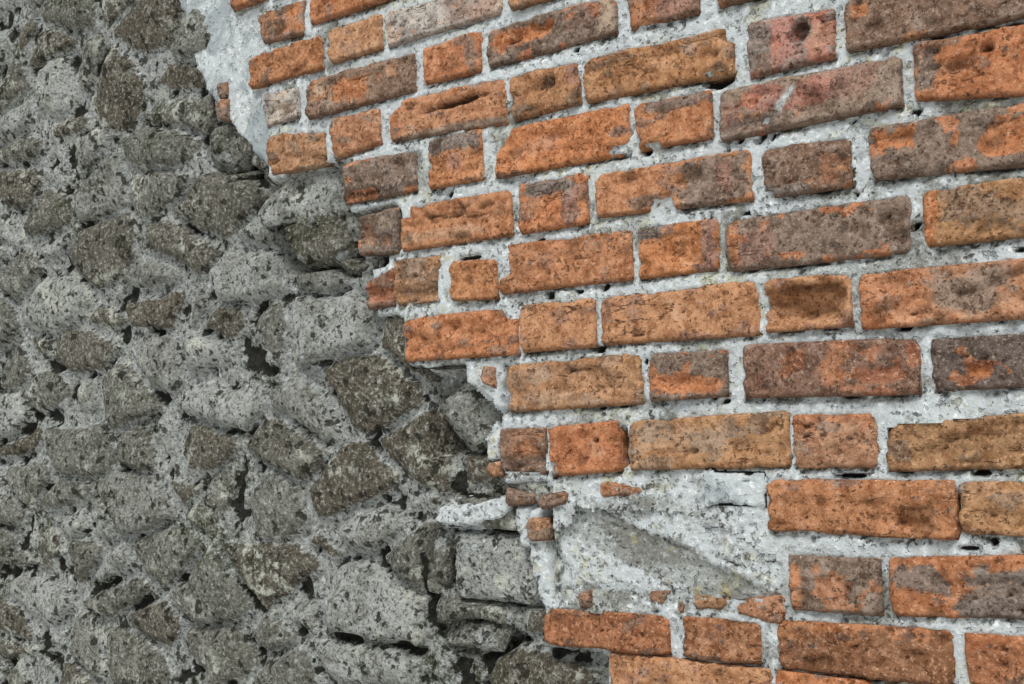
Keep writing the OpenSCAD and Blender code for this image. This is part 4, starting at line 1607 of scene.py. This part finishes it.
class BackFace(Face):
    """The back breaks off on its other side, its beds run level and its mortar is sound."""

    def __init__(self, rows, seed):
        super().__init__(rows, [-back_end(course) for course in COURSES], seed)
        self.beds = [course * PITCH for course in COURSES[:-1]]

    def outside(self, x, z):
        return x > self.end_at(z) + 80 * MM

    def mortar(self, x, z):
        """Height, grime share and painted-shade share, none here, of the mortar at a point."""
        broad = turbulence(x, z, self.seed, 52 * MM, 3)
        middling = turbulence(x, z, self.seed + 3, 14 * MM, 2)
        height = (-3.4 + 1.6 * broad + 1.2 * middling) * MM
        height -= 46 * MM * soft(x - self.end_at(z) + 9 * broad * MM, 10 * MM, 62 * MM)
        return height, soft(turbulence(x, z, self.seed + 13, 0.22, 3), -0.3, 0.5), 0.0


def make_back(face, brick, lime):
    """The bricks of the back, one piece for each lift, and their mortar."""
    for lift in range(1, LIFTS + 1):
        bm, *layers = new_mesh(*BRICK_PAINT)
        for row in face.rows[(lift - 1) * LIFT:lift * LIFT]:
            for item in row:
                add_brick(bm, layers, BACK, item, 16 * MM, [14 * MM])
        finish_piece(bm, f"back_bricks_{lift}", brick, [f"back_lift_{lift}"])
    window = (-WALL_END + MORTAR_BACK, max(face.ends) + MORTAR_REACH, 0, WALL_TOP)
    make_mortar("mortar_back", face, BACK, window, 17 * MM, lime, 0.12, sharp=False)


def end_rows():
    """The bricks of the end: headers and a core brick, then two stretchers, in turn."""
    half = -FACE_Y
    header = half - BRICK_W
    odd = [(-half + ARRIS, -half + BRICK_W), (-half + BRICK_W + JOINT, half - BRICK_W - JOINT),
           (header, half - ARRIS)]
    even = [(-half + ARRIS, -JOINT / 2), (JOINT / 2, half - ARRIS)]
    rows = []
    for course in COURSES:
        draw = Random(END_SEED + course)
        bottom, top = level(course, WALL_END)
        rows.append([
            Brick(left, right, bottom, top, draw.choice(COMMON), [], END_SEED + course * 9 + count, 0.10)
            for count, (left, right) in enumerate(odd if course % 2 else even)])
    return rows


def make_end(brick, lime):
    """The bricks that close the right end, in one piece, and their mortar."""
    rows = end_rows()
    bm, *layers = new_mesh(*BRICK_PAINT)
    for row in rows:
        for item in row:
            add_brick(bm, layers, END, item, 11 * MM, FACE_RINGS)
    finish_piece(bm, "end_bricks", brick, ["end_return"])
    unbroken = Face(rows, [-5.0] * len(rows), 77)
    window = (FACE_Y + MORTAR_BACK, -FACE_Y - MORTAR_BACK, 0, WALL_TOP)
    make_mortar("mortar_end", unbroken, END, window, 13 * MM, lime, 0.11)


# How far the coping falls to the face, and the round of its worn arrises
COPING_FALL = 14 * MM
COPING_ROUND = 11 * MM


def make_coping(side, brick, lime):
    """Bricks on edge along one half of the top, each with a worn outer arris, and their mortar."""
    node = f"coping_{side}"
    low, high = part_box(node)
    turn = Matrix() if side == "front" else Matrix.Rotation(math.pi, 4, "Z")
    bm = new_mesh(*BRICK_PAINT)[0]
    form = coping_form()
    count = round((high[0] - low[0]) / PITCH)
    step = (high[0] - low[0]) / count
    for k in range(count):
        left = low[0] + k * step + JOINT / 2
        add_coping_brick(bm, form, turn, left, left + step - JOINT, low[2] + JOINT, high[2],
                         COPING_SEED[side] + k)
    finish_piece(bm, f"coping_bricks_{side}", brick, [node])
    make_coping_mortar(f"coping_mortar_{side}", low, high, turn, lime)


def make_coping_mortar(name, low, high, turn, lime):
    """The rough mortar that the coping bricks stand in, a little inside their faces."""
    bm, masks = new_mesh("masks")
    deep = 6 * MM
    for v in bmesh.ops.create_cube(bm, size=1.0)["verts"]:
        v.co.x = low[0] + 16 * MM if v.co.x < 0 else high[0] - 16 * MM
        v.co.y = FACE_Y + deep if v.co.y < 0 else 0.0
        v.co.z = low[2] if v.co.z < 0 else high[2] - (19 * MM if v.co.y < -0.1 else deep)
    for axis, least, cuts in ((0, 1, 140), (1, 0.1, 12), (2, 0.08, 7)):
        along = [e for e in bm.edges if abs(e.verts[0].co[axis] - e.verts[1].co[axis]) > least]
        bmesh.ops.subdivide_edges(bm, edges=along, cuts=cuts, use_grid_fill=True)
    for v in bm.verts:
        rough = noise.fractal(v.co / (30 * MM), 0.9, 2.1, 3)
        if v.co.y < FACE_Y + deep + 1 * MM:
            v.co.y += 2.2 * MM * rough
        elif v.co.z > low[2] + 0.05:
            v.co.z += 2.2 * MM * rough
        v[masks] = (soft(rough, -0.5, 0.5), 0.0, 0.0, 1.0)
    bmesh.ops.transform(bm, matrix=turn, verts=bm.verts)
    finish_piece(bm, name, lime)


def coping_form():
    """A box of small faces from which every coping brick is shaped."""
    form = bmesh.new()
    bmesh.ops.create_cube(form, size=1.0)
    bmesh.ops.subdivide_edges(form, edges=form.edges[:], cuts=5, use_grid_fill=True)
    mesh = bpy.data.meshes.new("coping_form")
    form.to_mesh(mesh)
    form.free()
    return mesh


def add_coping_brick(bm, form, turn, left, right, bottom, top, seed):
    """A brick on edge: a rounded box with a worn nose, its top falling to the face."""
    draw = Random(seed)
    brick = Brick(left, right, bottom, top, draw.choice(COMMON), [], seed)
    bottom += draw.uniform(-1.5, 1.5) * MM
    top += draw.uniform(-2.5, 2.5) * MM
    count = len(bm.verts)
    bm.from_mesh(form)
    bm.verts.ensure_lookup_table()
    verts = bm.verts[count:]
    body_layer, skin_layer, mask_layer = (
        bm.verts.layers.float_color[name] for name in BRICK_PAINT)
    nose = FACE_Y - 2 * MM + draw.uniform(-2, 2) * MM
    back = -JOINT / 2
    for v in verts:
        x = left + (v.co.x + 0.5) * (right - left)
        y = nose + (v.co.y + 0.5) * (back - nose)
        z = bottom + (v.co.z + 0.5) * (top - bottom)
        fall = COPING_FALL * (0.5 - v.co.y)
        z -= fall * (v.co.z + 0.5)
        low, high = (left, nose, bottom), (right, back, top - fall)
        place = round_box((x, y, z), low, high, COPING_ROUND)
        rough = noise.fractal(place / (26 * MM) + Vector((0, 0, seed)), 0.9, 2.1, 4)
        v.co = place + Vector((0, -0.6, 0.8)) * (2.0 * rough * MM)
        v[body_layer] = (*brick.body, 1.0)
        v[skin_layer] = (*brick.skin, 1.0)
        v[mask_layer] = (soft(rough + brick.skin_share - 0.4, -0.2, 0.3), 0.0, 0.12, 1.0)
    bmesh.ops.transform(bm, matrix=turn, verts=verts)


def round_box(place, low, high, radius):
    """Pulls a point of a box in so that its edges become round."""
    core = [min(max(c, a + radius), b - radius) for c, a, b in zip(place, low, high)]
    away = Vector([c - k for c, k in zip(place, core)])
    if away.length < 1e-9:
        return Vector(place)
    scale = min(1.0, radius / away.length)
    return Vector([k + a * scale for k, a in zip(core, away)])


# Camera, light and floor

# The photograph's place, its turn to the left, its rise and its roll in degrees, and its lens
VIEW_PLACE = (1.060, -1.728, 1.164)
VIEW_ANGLES = (35.82, 2.81, 1.94)
VIEW_LENS = 40.43


def set_camera():
    """The photograph's view: close to the wall, looking along it to the left."""
    turn, pitch, roll = (math.radians(angle) for angle in VIEW_ANGLES)
    level_forward = Vector((-math.sin(turn), math.cos(turn), 0))
    level_right = Vector((math.cos(turn), math.sin(turn), 0))
    upright = Vector((0, 0, 1))
    forward = math.cos(pitch) * level_forward + math.sin(pitch) * upright
    above = -math.sin(pitch) * level_forward + math.cos(pitch) * upright
    right = math.cos(roll) * level_right - math.sin(roll) * above
    up = math.sin(roll) * level_right + math.cos(roll) * above
    data = bpy.data.cameras.new("view")
    data.sensor_width = 36.0
    data.lens = VIEW_LENS
    data.clip_start = 0.05
    camera = bpy.data.objects.new("view", data)
    bpy.context.scene.collection.objects.link(camera)
    frame_of = Matrix((right, up, -forward)).transposed().to_4x4()
    camera.matrix_world = Matrix.Translation(VIEW_PLACE) @ frame_of
    bpy.context.scene.camera = camera


def set_light():
    """Soft daylight: a wide pale sky and a broad sun from above the viewer."""
    world = bpy.data.worlds.new("sky")
    bpy.context.scene.world = world
    world.use_nodes = True
    back = world.node_tree.nodes["Background"]
    back.inputs["Color"].default_value = (0.94, 0.97, 1.0, 1)
    back.inputs["Strength"].default_value = 0.54
    sun = bpy.data.lights.new("sun", "SUN")
    sun.energy = 3.2
    sun.angle = math.radians(24)
    sun.color = (1.0, 0.98, 0.95)
    lamp = bpy.data.objects.new("sun", sun)
    lamp.rotation_euler = (math.radians(34), 0, math.radians(18))
    bpy.context.scene.collection.objects.link(lamp)


def make_floor():
    """A plain pale floor."""
    material, tree = new_material("pale_floor")
    tree.shader.inputs["Base Color"].default_value = (0.78, 0.78, 0.76, 1)
    tree.shader.inputs["Roughness"].default_value = 0.9
    bm = bmesh.new()
    bmesh.ops.create_grid(bm, x_segments=1, y_segments=1, size=30.0)
    mesh = bpy.data.meshes.new("floor")
    bm.to_mesh(mesh)
    bm.free()
    mesh.materials.append(material)
    floor = bpy.data.objects.new("floor", mesh)
    bpy.context.scene.collection.objects.link(floor)


# The whole wall

def make_front(brick, lime):
    """The front with its bricks and mortar, and how far the repair laps over its neighbours."""
    face = Face(make_courses(brick), [broken_end(course) for course in COURSES], 5, MORTAR_HOLES)
    face.patches = [(in_metres(REPAIR), 10, 9), (in_metres(BLOCK), -1, 3)]
    make_front_mortar(face, lime)
    return face


def main():
    bpy.context.scene.view_settings.view_transform = "Standard"
    set_camera()
    set_light()
    make_floor()
    grain_group()
    pits_group()
    lichen_group()
    cracks_group()
    brick, lime, stone = brick_material(), mortar_material(), stone_material()
    front = make_front(brick, lime)
    back = BackFace(back_rows(), 6)
    make_back(back, brick, lime)
    for lift in range(1, LIFTS + 1):
        make_rubble_lift(lift, front, back, stone)
    for count, (node, tone) in enumerate(BOULDERS):
        make_boulder(node, 11 + count, stone, tone)
    make_break_stones(stone)
    make_patches(lime)
    make_slivers(brick)
    make_end(brick, lime)
    make_coping("front", brick, lime)
    make_coping("back", brick, lime)


main()
